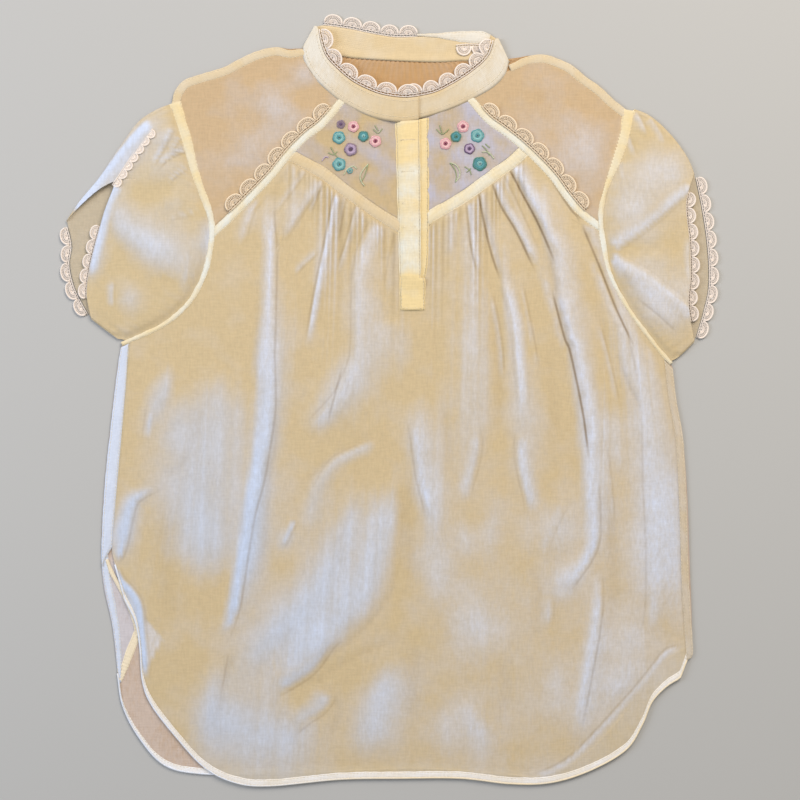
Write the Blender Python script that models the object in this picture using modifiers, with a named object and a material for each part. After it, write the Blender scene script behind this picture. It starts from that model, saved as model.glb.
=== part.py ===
# A short-sleeved cotton gauze blouse with a band collar, laid flat on its back.
# Millimetres in the tables, metres in the meshes. X runs across the garment, Y from hem to
# neck, Z up from the surface it lies on. Left and right are as seen from above.
import math

import bmesh
import bpy
import numpy as np

MM = 0.001

# Cloth and the layers of the folded-flat garment
WALL = 1.0
CLEAR = 0.3
SEAM_CLEAR = 0.4
SLEEVE_CLEAR = 0.8
SHOULDER_CLEAR = 1.2
LAYER = WALL + CLEAR
BAND_WALL = 1.6
FRONT_LEVEL = LAYER
OVER_LEVEL = 2 * LAYER
TOP_LEVEL = 3 * LAYER

# Widths of the seam bands and edges
RAGLAN_BAND = 6.0
YOKE_BAND = 10.0
ARMHOLE_BAND = 8.0
SHOULDER_SEAM = 6.5
SIDE_SEAM = 6.5
BAND_END = np.array((0.7, 0.0))
FRONT_HEM_WALL = 1.6

# The garment's middle in plan, so that its box is centred on the origin
MIDDLE_X = 1.0
MIDDLE_Y = -0.95

# Seam lines in plan: columns x, y
RAGLAN_LEFT = ((-46, 270), (-61, 253), (-76, 241), (-91, 226), (-107, 206), (-127, 185),
               (-144, 168), (-160, 153))
RAGLAN_RIGHT = ((79, 271), (91, 257), (106, 246), (121, 234), (136, 220), (151, 204),
                (164, 186), (178, 170), (195, 157))
YOKE_LEFT = ((-89, 223), (-59, 206), (-37, 189), (-8, 169), (10, 158))
YOKE_RIGHT = ((38, 167), (67, 184), (91, 201), (113, 217), (124, 227))
ARMHOLE_LEFT = ((-196, 272), (-191, 255), (-185, 235), (-179, 212), (-171, 189), (-164, 169),
                (-162, 154), (-163.5, 138), (-167, 121), (-174, 103), (-186, 85), (-208, 67),
                (-245, 50))
ARMHOLE_RIGHT = ((221, 265), (218, 246), (211, 224), (202, 201), (196, 178), (195, 162),
                 (197, 143), (201, 122), (208, 104), (222, 80), (236, 61), (250, 43), (260, 32))
SHOULDER_TOP_LEFT = ((-81, 322.5), (-91, 321), (-104, 323), (-122, 319), (-137, 312), (-153, 304),
                     (-173, 298), (-185, 294), (-192, 289), (-197, 281), (-199, 273))
SHOULDER_TOP_RIGHT = ((117, 311), (123, 313.5), (131, 315.5), (144, 316), (158, 311.5),
                      (169, 306), (180, 297), (195, 286), (208, 274), (218, 266))
BACK_NECK = ((-78, 322), (-61, 319), (-35, 314), (11, 311), (47, 310), (71, 311), (110, 309))
BACK_BAND_TOP = ((-65, 344), (-37, 340), (-10, 334.5), (11, 332), (44, 334), (65, 336), (85, 337),
                 (98, 333))

# The front half of the collar, from the over end at the placket round to the left fold, and
# from the right fold to the under end: columns seam x, seam y, upper edge x, upper edge y
COLLAR_LEFT = ((28, 257, 28, 277), (11, 255, 12, 276), (-15, 260, -9, 280), (-40, 272, -31, 290),
               (-58, 286, -46, 302), (-71, 300, -57, 314), (-77, 312, -62, 327),
               (-78, 323, -65, 344))
COLLAR_RIGHT = ((110, 310, 98, 333), (106, 298, 92, 315), (94, 286, 79, 302), (70, 273, 61, 290),
                (47, 264, 43, 281), (30, 259, 28, 277.5), (15, 257, 15, 276))
COLLAR_LIFT = 2.5

# Side edges and hems: columns x, y
FRONT_SIDE_LEFT = ((-246, 47), (-248, 17), (-252, -29), (-257, -84), (-261, -135), (-258, -154))
FRONT_SIDE_RIGHT = ((261, 30), (265, -3), (271, -38), (274, -93), (276, -158), (279, -213),
                    (281, -240))
FRONT_HEM = ((-258, -154), (-242, -185), (-232, -206), (-228, -231), (-226, -259), (-218, -281),
             (-196, -310), (-169, -339), (-141, -353), (-109, -356), (-45, -350), (11, -349),
             (66, -349), (112, -354), (149, -353), (185, -342), (218, -323), (233, -300),
             (242, -279), (255, -265), (268, -257), (281, -240))
BACK_SIDE_LEFT = ((-246, 48), (-249, 30), (-254, -11), (-261, -77), (-264, -136), (-262, -172),
                  (-254, -209), (-249, -253))
BACK_SIDE_RIGHT = ((261, 30), (265, -3), (271, -38), (275, -93), (277, -150), (279, -209),
                   (277, -227))
BACK_HEM = ((-249, -253), (-244, -283), (-229, -312), (-206, -337), (-173, -345), (-118, -345),
            (-54, -343), (29, -340), (103, -345), (139, -347), (172, -334), (199, -310),
            (227, -276), (250, -245), (277, -227))

# Sleeves: the folded upper edge, the lower edge, and the two edges of the opening
SLEEVE_LEFT = dict(
    upper=((-202, 270), (-214, 265), (-230, 254), (-247, 231), (-265, 204), (-284, 181), (-296, 163)),
    lower=((-249, 55), (-260, 63), (-273, 73)),
    back_edge=((-296, 163), (-291, 141), (-293, 123), (-289, 104), (-282, 89), (-273, 73)),
    front_edge=((-296, 163), (-275, 172), (-262, 165), (-266, 140), (-272, 114), (-276, 95),
                (-273, 73)))
SLEEVE_RIGHT = dict(
    upper=((226, 266), (238, 261), (250, 252), (264, 237), (275, 221), (281, 207)),
    lower=((265, 37), (272, 43), (281, 52)),
    back_edge=((281, 207), (288, 173), (293, 137), (294, 104), (289, 79), (281, 52)),
    front_edge=((281, 207), (273, 180), (276, 146), (277, 114), (275, 86), (281, 52)))
SLEEVE_EDGE = 1.4
SLEEVE_TOP = 2.7
SLEEVE_PUFF = 1.2

# The placket: columns x of its two edges, y of its lower end and of its box
PLACKET_OVER = dict(left=6.0, right=29.0, box_left=10.0, box_right=34.0, box_top=111.0, end=81.0)
PLACKET_UNDER = dict(left=13.0, right=37.0, end=105.0)
PLACKET_MIDDLE = 22.0
PLACKET_REACH = 20.0

# Lace: depth across the strip, depth of its plain header, size of the hole in each scallop
LACE_DEPTH = 13.0
LACE_HEADER = 3.2
SCALLOP_HOLE = dict(width=0.52, start=0.33, end=0.72)

# Folds of the front: the crest's points in plan, half width, height, and the share of the
# crest's length over which each end dies away
FOLDS = (
    dict(crest=((-113, 168), (-107, 130), (-108, 60), (-110, 5), (-118, -52), (-130, -110),
                (-146, -190), (-162, -270), (-165, -330)), width=13, height=8.5, ends=(0.10, 0.15)),
    dict(crest=((-74, 196), (-88, 165), (-96, 140)), width=7, height=4.0, ends=(0.2, 0.6)),
    dict(crest=((-53, 186), (-57, 150), (-64, 110), (-72, 70)), width=8, height=4.5, ends=(0.2, 0.5)),
    dict(crest=((-18, 148), (-26, 105), (-22, 55), (-30, 10), (-58, -22), (-88, -43)), width=12,
         height=5.5, ends=(0.2, 0.4)),
    dict(crest=((-200, 35), (-212, 0), (-226, -46)), width=10, height=4.0, ends=(0.4, 0.4)),
    dict(crest=((-164, 10), (-202, -72), (-182, -132), (-162, -172)), width=20, height=5.0,
         ends=(0.4, 0.3)),
    dict(crest=((-214, -88), (-236, -106), (-246, -142), (-240, -172)), width=11, height=4.5,
         ends=(0.3, 0.5)),
    dict(crest=((6, -48), (-14, -98), (-36, -150), (-74, -188), (-128, -232)), width=11,
         height=5.0, ends=(0.3, 0.4)),
    dict(crest=((-4, -78), (-10, -138), (-24, -186), (-66, -232), (-114, -278)), width=9,
         height=4.0, ends=(0.4, 0.4)),
    dict(crest=((10, -228), (6, -280), (-26, -330)), width=11, height=3.5, ends=(0.4, 0.3)),
    dict(crest=((-55, -270), (-86, -298), (-106, -326)), width=9, height=3.0, ends=(0.4, 0.4)),
    dict(crest=((30, 12), (34, -48), (38, -104), (46, -124), (38, -178)), width=10, height=4.5,
         ends=(0.3, 0.4)),
    dict(crest=((77, 166), (80, 108), (80, 44), (82, -26), (70, -94)), width=12, height=6.0,
         ends=(0.15, 0.4)),
    dict(crest=((90, 178), (96, 140), (104, 88), (112, 52), (123, -2), (126, -48), (130, -94)),
         width=8, height=4.5, ends=(0.15, 0.4)),
    dict(crest=((127, 200), (138, 172), (156, 126), (167, 66), (180, 16), (190, -48), (196, -94),
                (192, -140), (194, -188), (189, -256), (178, -304)), width=12, height=9.5,
         ends=(0.08, 0.15)),
    dict(crest=((205, 108), (220, 66), (234, 20), (243, -26), (252, -72), (253, -164), (246, -232)),
         width=17, height=6.0, ends=(0.2, 0.2)),
    dict(crest=((194, -140), (162, -182), (148, -210)), width=10, height=4.0, ends=(0.3, 0.5)),
    dict(crest=((176, -76), (148, -122), (140, -140)), width=8, height=3.0, ends=(0.4, 0.5)),
    dict(crest=((66, -270), (94, -306), (104, -334)), width=10, height=3.0, ends=(0.4, 0.4)),
)

# Folds of the sleeves' upper faces, in the same columns
SLEEVE_LEFT_FOLDS = (
    dict(crest=((-188, 244), (-206, 238), (-222, 222)), width=8, height=3.0, ends=(0.3, 0.5)),
    dict(crest=((-178, 212), (-206, 208), (-232, 188)), width=9, height=3.0, ends=(0.3, 0.5)),
    dict(crest=((-172, 160), (-206, 150), (-246, 130)), width=14, height=2.6, ends=(0.3, 0.4)),
    dict(crest=((-182, 108), (-214, 104), (-248, 104)), width=12, height=2.4, ends=(0.3, 0.4)),
)
SLEEVE_RIGHT_FOLDS = (
    dict(crest=((208, 140), (236, 168), (262, 192)), width=12, height=3.0, ends=(0.2, 0.4)),
    dict(crest=((210, 124), (238, 92), (264, 68)), width=12, height=3.0, ends=(0.2, 0.4)),
    dict(crest=((222, 226), (240, 216), (258, 208)), width=10, height=2.6, ends=(0.3, 0.4)),
    dict(crest=((212, 172), (230, 190), (246, 206)), width=8, height=2.2, ends=(0.2, 0.4)),
)
SHOULDER_LEFT_FOLDS = (
    dict(crest=((-92, 296), (-106, 262), (-118, 236)), width=16, height=1.8, ends=(0.4, 0.5)),
)
SHOULDER_RIGHT_FOLDS = (
    dict(crest=((196, 268), (172, 240), (160, 212)), width=18, height=2.2, ends=(0.4, 0.5)),
)

# Rows of the front from its seams to its hem, as shares of its length, and how late its
# columns spread
FRONT_ROWS = (0, 0.02, 0.055, 0.10, 0.16, 0.24, 0.34, 0.45, 0.56, 0.67, 0.78, 0.88, 0.975, 1)
FAN_LEAN = 1.5

# Gathers that the yoke seam lets into the front: height beside the seam and their reach
GATHER_HEIGHT = 1.7
GATHER_REACH = 85.0
LACE_RISE = LAYER
LACE_RISE_REACH = 17.0

# Colours, sRGB
COLOURS = dict(gauze="DCCFB8", band="EADDC2", lace="E6DCC8", underside="D2BC94")


def linear_colour(name):
    # sRGB hex to the linear values a material takes
    hex_text = COLOURS[name]
    values = [int(hex_text[i:i + 2], 16) / 255 for i in (0, 2, 4)]
    return [v / 12.92 if v <= 0.04045 else ((v + 0.055) / 1.055) ** 2.4 for v in values] + [1.0]


def make_material(name, colour):
    material = bpy.data.materials.new(name)
    material.use_nodes = True
    shader = material.node_tree.nodes["Principled BSDF"]
    shader.inputs["Base Color"].default_value = linear_colour(colour)
    shader.inputs["Roughness"].default_value = 0.9
    shader.inputs["Metallic"].default_value = 0.0
    return material


# Paths in plan and in space

def resample(path, count):
    # the same path in even steps
    steps = np.linalg.norm(np.diff(path, axis=0), axis=1)
    along = np.concatenate(([0.0], np.cumsum(steps)))
    wanted = np.linspace(0.0, along[-1], count)
    return np.stack([np.interp(wanted, along, path[:, axis]) for axis in range(path.shape[1])], 1)


def smooth(points, per_span=14):
    # a Catmull-Rom curve through the points
    p = np.array(points, float)
    p = np.vstack((2 * p[0] - p[1], p, 2 * p[-1] - p[-2]))
    t = np.linspace(0.0, 1.0, per_span, endpoint=False)[:, None]
    spans = []
    for a, b, c, d in zip(p[:-3], p[1:-2], p[2:-1], p[3:]):
        spans.append(0.5 * (2 * b + (c - a) * t + (2 * a - 5 * b + 4 * c - d) * t ** 2
                            + (3 * b - a - 3 * c + d) * t ** 3))
    return np.vstack(spans + [p[-2:-1]])


def moved_aside(points, distance, extend=0.0):
    # the smooth path moved to the left of its own direction, its ends run on by extend
    path = smooth(points)
    tangent = np.gradient(path, axis=0)
    tangent /= np.linalg.norm(tangent, axis=1)[:, None]
    normal = np.stack((-tangent[:, 1], tangent[:, 0]), 1)
    path = path + normal * distance
    if extend:
        path = np.vstack((path[0] - tangent[0] * extend, path, path[-1] + tangent[-1] * extend))
    return path


def corner(path_a, path_b):
    # where two paths meet, or come nearest
    a = resample(path_a, 500)
    b = resample(path_b, 500)
    gaps = np.linalg.norm(a[:, None] - b[None], axis=2)
    i, j = np.unravel_index(np.argmin(gaps), gaps.shape)
    return (a[i] + b[j]) / 2


def between(path, start, end, count):
    # the stretch of a path from beside one point to beside another
    dense = resample(path, 900)
    i = int(np.argmin(np.linalg.norm(dense - np.array(start, float), axis=1)))
    j = int(np.argmin(np.linalg.norm(dense - np.array(end, float), axis=1)))
    part = dense[i:j + 1] if i <= j else dense[j:i + 1][::-1]
    return resample(part, count)


def from_fractions(path, fractions):
    dense = resample(path, 600)
    index = np.array(fractions) * 599
    return np.stack([np.interp(index, np.arange(600), dense[:, axis]) for axis in range(2)], 1)


def smooth_step(value):
    value = np.clip(value, 0.0, 1.0)
    return value * value * (3 - 2 * value)


# Surfaces

def patch(top, bottom, left, right, u=None, v=None, lean=1.0, hold=1):
    # a grid filled in from its four edges; left and right run from top to bottom. A lean over 1
    # lets the columns start straight down and spread later, and a hold over 1 keeps the side
    # edges' own bends beside them.
    u = np.linspace(0, 1, len(top)) if u is None else np.array(u)
    v = np.linspace(0, 1, len(left)) if v is None else np.array(v)
    u = u[None, :, None]
    v = np.stack((v ** lean, v), axis=1)[:, None, :]
    ruled = (1 - v) * top[None] + v * bottom[None]
    left_bend = left[:, None] - ruled[:, :1]
    right_bend = right[:, None] - ruled[:, -1:]
    return ruled + (1 - u) ** hold * left_bend + u ** hold * right_bend


def fold_height(plan, folds):
    # each fold is a soft ridge over its crest that dies away at its two ends
    height = np.zeros(plan.shape[:-1])
    for fold in folds:
        crest = resample(smooth(fold["crest"]), 60)
        gaps = np.linalg.norm(plan[..., None, :] - crest, axis=-1)
        nearest = np.argmin(gaps, axis=-1)
        share = nearest / 59
        start, end = fold["ends"]
        taper = smooth_step(share / start) * smooth_step((1 - share) / end)
        height += fold["height"] * taper * np.exp(-(np.min(gaps, axis=-1) / fold["width"]) ** 2)
    return height


def distance_to(plan, path):
    # how far each point of a plan is from a path
    return np.min(np.linalg.norm(plan[..., None, :] - resample(path, 80), axis=-1), axis=-1)


def turned_over(grid):
    # true where the rows and columns of a grid would face it down
    across = grid[:-1, 1:] - grid[:-1, :-1]
    up = grid[1:, :-1] - grid[:-1, :-1]
    return np.sum(across[..., 0] * up[..., 1] - across[..., 1] * up[..., 0]) < 0


def grid_mesh(name, grid, closed=False):
    # a Blender grid whose points are moved to the rows and columns of the surface
    rows, columns = grid.shape[:2]
    if not closed and turned_over(grid):
        grid = grid[::-1]
    bm = bmesh.new()
    bmesh.ops.create_grid(bm, x_segments=columns - 1, y_segments=rows - 1, size=0.5)
    middle = np.array((MIDDLE_X, MIDDLE_Y, 0.0))
    for vertex, point in zip(bm.verts, grid.reshape(-1, 3)):
        vertex.co = (point - middle) * MM
    if closed:
        bmesh.ops.remove_doubles(bm, verts=bm.verts, dist=0.00002)
    mesh = bpy.data.meshes.new(name)
    bm.to_mesh(mesh)
    bm.free()
    return mesh


def add_object(name, mesh, material):
    thing = bpy.data.objects.new(name, mesh)
    thing.data.materials.append(material)
    blouse.objects.link(thing)
    return thing


def add_wall(thing, thickness, offset=1.0):
    # the cloth's wall: the surface that was worked out is its lower side when offset is 1
    wall = thing.modifiers.new("wall", "SOLIDIFY")
    wall.thickness = thickness * MM
    wall.offset = offset
    wall.use_even_offset = False
    return wall


def sheet(name, plan, heights, material, thickness=WALL):
    grid = np.concatenate((plan, np.broadcast_to(heights, plan.shape[:2])[..., None]), axis=2)
    thing = add_object(name, grid_mesh(name, grid), material)
    add_wall(thing, thickness)
    return thing


def strip(name, edge_a, edge_b, level, material, thickness=BAND_WALL):
    # a band between two edges that have as many points as each other
    return sheet(name, np.stack((edge_a, edge_b)), level, material, thickness)


def lace(name, root, side, scallops, level, material, depth=LACE_DEPTH, rise=0.0):
    # scallops side by side along a root line in space; side is 1 for the left of its direction.
    # Each is an outline round a hole, and both are lofted point to point.
    root = resample(np.array(root, float), scallops * 8 + 1)
    tangent = np.gradient(root[:, :2], axis=0)
    tangent /= np.linalg.norm(tangent, axis=1)[:, None]
    normal = np.stack((-tangent[:, 1], tangent[:, 0]), 1) * side
    heights = root[:, 2] if root.shape[1] == 3 else np.full(len(root), float(level))
    header = LACE_HEADER / LACE_DEPTH
    half = SCALLOP_HOLE["width"] / 2
    start, end = SCALLOP_HOLE["start"], SCALLOP_HOLE["end"]
    outline = ((0, 0), (1, 0), (1, header * 1.6), (0.83, 0.82), (0.5, 1), (0.17, 0.82),
               (0, header * 1.6))
    hole = ((0.5 - half, start), (0.5 + half, start), (0.5 + half, 0.5), (0.5 + half * 0.7, end - 0.05),
            (0.5, end), (0.5 - half * 0.7, end - 0.05), (0.5 - half, 0.5))
    bm = bmesh.new()
    middle = np.array((MIDDLE_X, MIDDLE_Y, 0.0))

    def place(scallop, s, t):
        index = (scallop + s) * 8
        low = min(int(index), len(root) - 2)
        part = index - low
        at = root[low, :2] * (1 - part) + root[low + 1, :2] * part
        out = normal[low] * (1 - part) + normal[low + 1] * part
        z = heights[low] * (1 - part) + heights[low + 1] * part + rise * t
        point = np.array((*(at + out * depth * t), z))
        return bm.verts.new((point - middle) * MM)

    for scallop in range(scallops):
        outer = [place(scallop, s, t) for s, t in outline]
        inner = [place(scallop, s, t) for s, t in hole]
        for i in range(len(outer)):
            j = (i + 1) % len(outer)
            face = [outer[i], outer[j], inner[j], inner[i]]
            bm.faces.new(face if side > 0 else face[::-1])
    bmesh.ops.remove_doubles(bm, verts=bm.verts, dist=0.00002)
    mesh = bpy.data.meshes.new(name)
    bm.to_mesh(mesh)
    bm.free()
    thing = add_object(name, mesh, material)
    add_wall(thing, WALL)
    return thing


# Sub-parts

def make_back(material):
    # one flat plate to the garment's outline, with the back neck seam cut out of it
    outline = [between(moved_aside(ARMHOLE_LEFT, 0.0), ARMHOLE_LEFT[0], ARMHOLE_LEFT[-1], 22),
               resample(smooth(BACK_SIDE_LEFT), 16)[1:],
               resample(smooth(BACK_HEM), 44)[1:],
               resample(smooth(BACK_SIDE_RIGHT), 16)[::-1][1:],
               resample(smooth(ARMHOLE_RIGHT), 20)[::-1][1:],
               resample(smooth(SHOULDER_TOP_RIGHT), 16)[::-1][1:],
               resample(moved_aside(BACK_NECK, -0.5), 20)[::-1],
               resample(smooth(SHOULDER_TOP_LEFT), 18)[1:-1]]
    points = np.vstack(outline)
    curve = bpy.data.curves.new("back_panel", "CURVE")
    curve.dimensions = "2D"
    curve.fill_mode = "BOTH"
    curve.extrude = WALL / 2 * MM
    edge = curve.splines.new("POLY")
    edge.points.add(len(points) - 1)
    for slot, (x, y) in zip(edge.points, points):
        slot.co = ((x - MIDDLE_X) * MM, (y - MIDDLE_Y) * MM, 0.0, 1.0)
    edge.use_cyclic_u = True
    back = add_object("back_panel", curve, material)
    back.location.z = WALL / 2 * MM


def yoke_edges():
    # the two sides of each band that crosses the body, as paths in plan
    raglan = RAGLAN_BAND / 2
    yoke = YOKE_BAND / 2
    arm = ARMHOLE_BAND / 2
    return dict(
        raglan_left_in=moved_aside(RAGLAN_LEFT, raglan + SEAM_CLEAR, 12),
        raglan_left_out=moved_aside(RAGLAN_LEFT, -raglan - SEAM_CLEAR, 12),
        raglan_right_in=moved_aside(RAGLAN_RIGHT, -raglan - SEAM_CLEAR, 12),
        raglan_right_out=moved_aside(RAGLAN_RIGHT, raglan + SEAM_CLEAR, 12),
        yoke_left_up=moved_aside(YOKE_LEFT, yoke + SEAM_CLEAR, 14),
        yoke_left_down=moved_aside(YOKE_LEFT, -yoke - SEAM_CLEAR, 14),
        yoke_right_up=moved_aside(YOKE_RIGHT, yoke + SEAM_CLEAR, 14),
        yoke_right_down=moved_aside(YOKE_RIGHT, -yoke - SEAM_CLEAR, 14),
        arm_left_in=moved_aside(ARMHOLE_LEFT, arm + SEAM_CLEAR, 14),
        arm_left_out=moved_aside(ARMHOLE_LEFT, -arm - SEAM_CLEAR, 14),
        arm_right_in=moved_aside(ARMHOLE_RIGHT, -arm - SEAM_CLEAR, 14),
        arm_right_out=moved_aside(ARMHOLE_RIGHT, arm + SEAM_CLEAR, 14),
        neck_left=moved_aside([row[:2] for row in COLLAR_LEFT], SEAM_CLEAR, 0),
        neck_right=moved_aside([row[:2] for row in COLLAR_RIGHT], SEAM_CLEAR, 0),
        shoulder_left=moved_aside(SHOULDER_TOP_LEFT, SHOULDER_SEAM + SHOULDER_CLEAR, 12),
        shoulder_right=moved_aside(SHOULDER_TOP_RIGHT, -SHOULDER_SEAM - SHOULDER_CLEAR, 12),
        side_left=moved_aside(FRONT_SIDE_LEFT, SIDE_SEAM + SEAM_CLEAR, 12)[:-1],
        side_right=moved_aside(FRONT_SIDE_RIGHT, -SIDE_SEAM - SEAM_CLEAR, 12)[:-1])


def make_bands(edges, material):
    # insertion bands between the panels, a little thicker than one layer of cloth
    for side, line, arm in (("left", RAGLAN_LEFT, "arm_left_in"), ("right", RAGLAN_RIGHT, "arm_right_in")):
        rails = []
        for offset in (RAGLAN_BAND / 2, -RAGLAN_BAND / 2):
            rail = moved_aside(line, offset, 12)
            start, end = corner(rail, edges[f"neck_{side}"]), corner(rail, edges[arm])
            rails.append(between(rail, start, end, 24))
        strip(f"raglan_band_{side}", rails[0], rails[1], FRONT_LEVEL, material)
    for side, line in (("left", YOKE_LEFT), ("right", YOKE_RIGHT)):
        upper = moved_aside(line, YOKE_BAND / 2, 14)
        lower = moved_aside(line, -YOKE_BAND / 2, 14)
        wall = edges[f"raglan_{side}_in"]
        if side == "left":
            ends = [(corner(upper, wall) + BAND_END, (12, 165)), (corner(lower, wall) + BAND_END, (10, 152))]
        else:
            ends = [((38, 173), corner(upper, wall) - BAND_END), ((38, 161), corner(lower, wall) - BAND_END)]
        strip(f"yoke_band_{side}", between(upper, *ends[0], 18), between(lower, *ends[1], 18),
              FRONT_LEVEL, material)
    for side, line in (("left", ARMHOLE_LEFT), ("right", ARMHOLE_RIGHT)):
        inner = resample(moved_aside(line, ARMHOLE_BAND / 2), 32)
        outer = resample(moved_aside(line, -ARMHOLE_BAND / 2), 32)
        strip(f"armhole_band_{side}", inner, outer, FRONT_LEVEL, material)


def make_shoulders(edges, cloth, band):
    for side, top, folds, turn in (("left", SHOULDER_TOP_LEFT, SHOULDER_LEFT_FOLDS, 1),
                                   ("right", SHOULDER_TOP_RIGHT, SHOULDER_RIGHT_FOLDS, -1)):
        upper, lower = edges[f"shoulder_{side}"], edges[f"raglan_{side}_out"]
        neck, arm = edges[f"neck_{side}"], edges[f"arm_{side}_in"]
        a, b = corner(upper, neck), corner(upper, arm)
        c, d = corner(lower, neck), corner(lower, arm)
        plan = patch(between(upper, a, b, 19), between(lower, c, d, 19),
                     between(neck, a, c, 9), between(arm, b, d, 9))
        inside = np.minimum(distance_to(plan, upper), distance_to(plan, lower))
        heights = FRONT_LEVEL + fold_height(plan, folds) * smooth_step(inside / 14)
        sheet(f"shoulder_{side}", plan, heights, cloth)
        outer = resample(moved_aside(top, 0.0), 24)
        inner = resample(moved_aside(top, SHOULDER_SEAM * turn), 24)
        trim = slice(1, -1)
        strip(f"shoulder_seam_{side}", outer[trim], inner[trim], FRONT_LEVEL, band)


def make_yokes(edges, cloth):
    # the two triangles beside the placket
    for side, centre in (("left", 12.0), ("right", 31.0)):
        neck, lower = edges[f"neck_{side}"], edges[f"yoke_{side}_up"]
        raglan = edges[f"raglan_{side}_in"]
        line = np.array(((centre, 262.0), (centre, 150.0)))
        a, b = corner(raglan, neck), corner(neck, line)
        c, d = corner(raglan, lower), corner(lower, line)
        plan = patch(between(neck, a, b, 12), between(lower, c, d, 12),
                     between(raglan, a, c, 10), between(resample(line, 60), b, d, 10))
        sheet(f"front_yoke_{side}", plan, FRONT_LEVEL, cloth)


def front_grid(edges):
    # columns fan from the armholes and yoke seams down to the hem
    arm_left, arm_right = edges["arm_left_in"], edges["arm_right_in"]
    raglan_left, raglan_right = edges["raglan_left_in"], edges["raglan_right_in"]
    down_left, down_right = edges["yoke_left_down"], edges["yoke_right_down"]
    under_left = corner(edges["side_left"], arm_left)
    under_right = corner(edges["side_right"], arm_right)
    a = corner(arm_left, raglan_left)
    b = corner(raglan_left, down_left)
    c = corner(raglan_right, down_right)
    d = corner(raglan_right, arm_right)
    pieces = [between(arm_left, under_left, a, 15), between(raglan_left, a, b, 8),
              between(down_left, b, (10, 151), 27), resample(np.array(((11.0, 150.0), (38.0, 159.0))), 4),
              between(down_right, (39, 160), c, 25), between(raglan_right, c, d, 7),
              between(arm_right, d, under_right, 14)]
    joints = (0.0, 0.285, 0.36, 0.525, 0.565, 0.725, 0.785, 1.0)
    top, share = [pieces[0]], [np.linspace(joints[0], joints[1], len(pieces[0]))]
    for piece, low, high in zip(pieces[1:], joints[1:], joints[2:]):
        top.append(piece[1:])
        share.append(np.linspace(low, high, len(piece))[1:])
    top, share = np.vstack(top), np.concatenate(share)
    left = between(edges["side_left"], under_left, edges["side_left"][-1], 40)
    right = between(edges["side_right"], under_right, edges["side_right"][-1], 40)
    hem = np.vstack((left[-1], smooth(FRONT_HEM[1:-1]), right[-1]))
    rows = np.array(FRONT_ROWS)
    plan = patch(top, from_fractions(hem, share), from_fractions(left, rows),
                 from_fractions(right, rows), share, rows, FAN_LEAN, 5)
    return plan, (len(pieces[0]) + len(pieces[1]) - 2, len(pieces[2]) + len(pieces[3]) - 2)


def make_front(edges, cloth):
    plan, (skip, width) = front_grid(edges)
    seam = plan[0]
    below = np.linalg.norm(plan - seam[None], axis=2)
    column = np.arange(plan.shape[1])
    gathered = smooth_step((column - skip + 3) / 5) * smooth_step((plan.shape[1] - 19 - column + 3) / 5)
    ripple = (column % 2) * (0.75 + 0.25 * np.cos(column * 2.4))
    gathers = GATHER_HEIGHT * gathered * ripple * np.exp(-(below / GATHER_REACH) ** 2)
    rise = LACE_RISE * gathered * (1 - smooth_step((below - LACE_RISE_REACH) / 22))
    away = np.minimum(below / 26, 1.0)
    edge = distance_to(plan, plan[-1])
    folds = fold_height(plan, FOLDS) * smooth_step(away) * (0.35 + 0.65 * smooth_step(edge / 30))
    sides = np.minimum(distance_to(plan, plan[:, 0]), distance_to(plan, plan[:, -1]))
    beside = np.maximum(np.abs(plan[..., 0] - PLACKET_MIDDLE) - PLACKET_REACH, 0.0)
    beside = np.hypot(beside, np.maximum(PLACKET_OVER["end"] - 4 - plan[..., 1], 0.0))
    clear = smooth_step(beside / 13)
    heights = FRONT_LEVEL + (gathers + rise + folds * smooth_step(sides / 12)) * clear
    front = sheet("front_panel", plan, heights, cloth, FRONT_HEM_WALL)
    hem = front.vertex_groups.new(name="hem")
    columns = plan.shape[1]
    total = plan.shape[0] * columns
    rim = range(columns) if turned_over(plan) else range(total - columns, total)
    hem.add(list(range(total)), WALL / FRONT_HEM_WALL, "REPLACE")
    hem.add(list(rim), 1.0, "REPLACE")
    front.modifiers["wall"].vertex_group = "hem"


def make_side_seams(edges, material):
    for side, line, turn in (("left", FRONT_SIDE_LEFT, 1), ("right", FRONT_SIDE_RIGHT, -1)):
        rails = []
        for offset in (0.0, SIDE_SEAM * turn):
            rail = moved_aside(line, offset, 10)[:-1]
            whole = between(rail, corner(rail, edges[f"arm_{side}_in"]), rail[-1], 60)
            rails.append(from_fractions(whole, FRONT_ROWS))
        strip(f"side_seam_{side}", rails[0], rails[1], FRONT_LEVEL, material)


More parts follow.
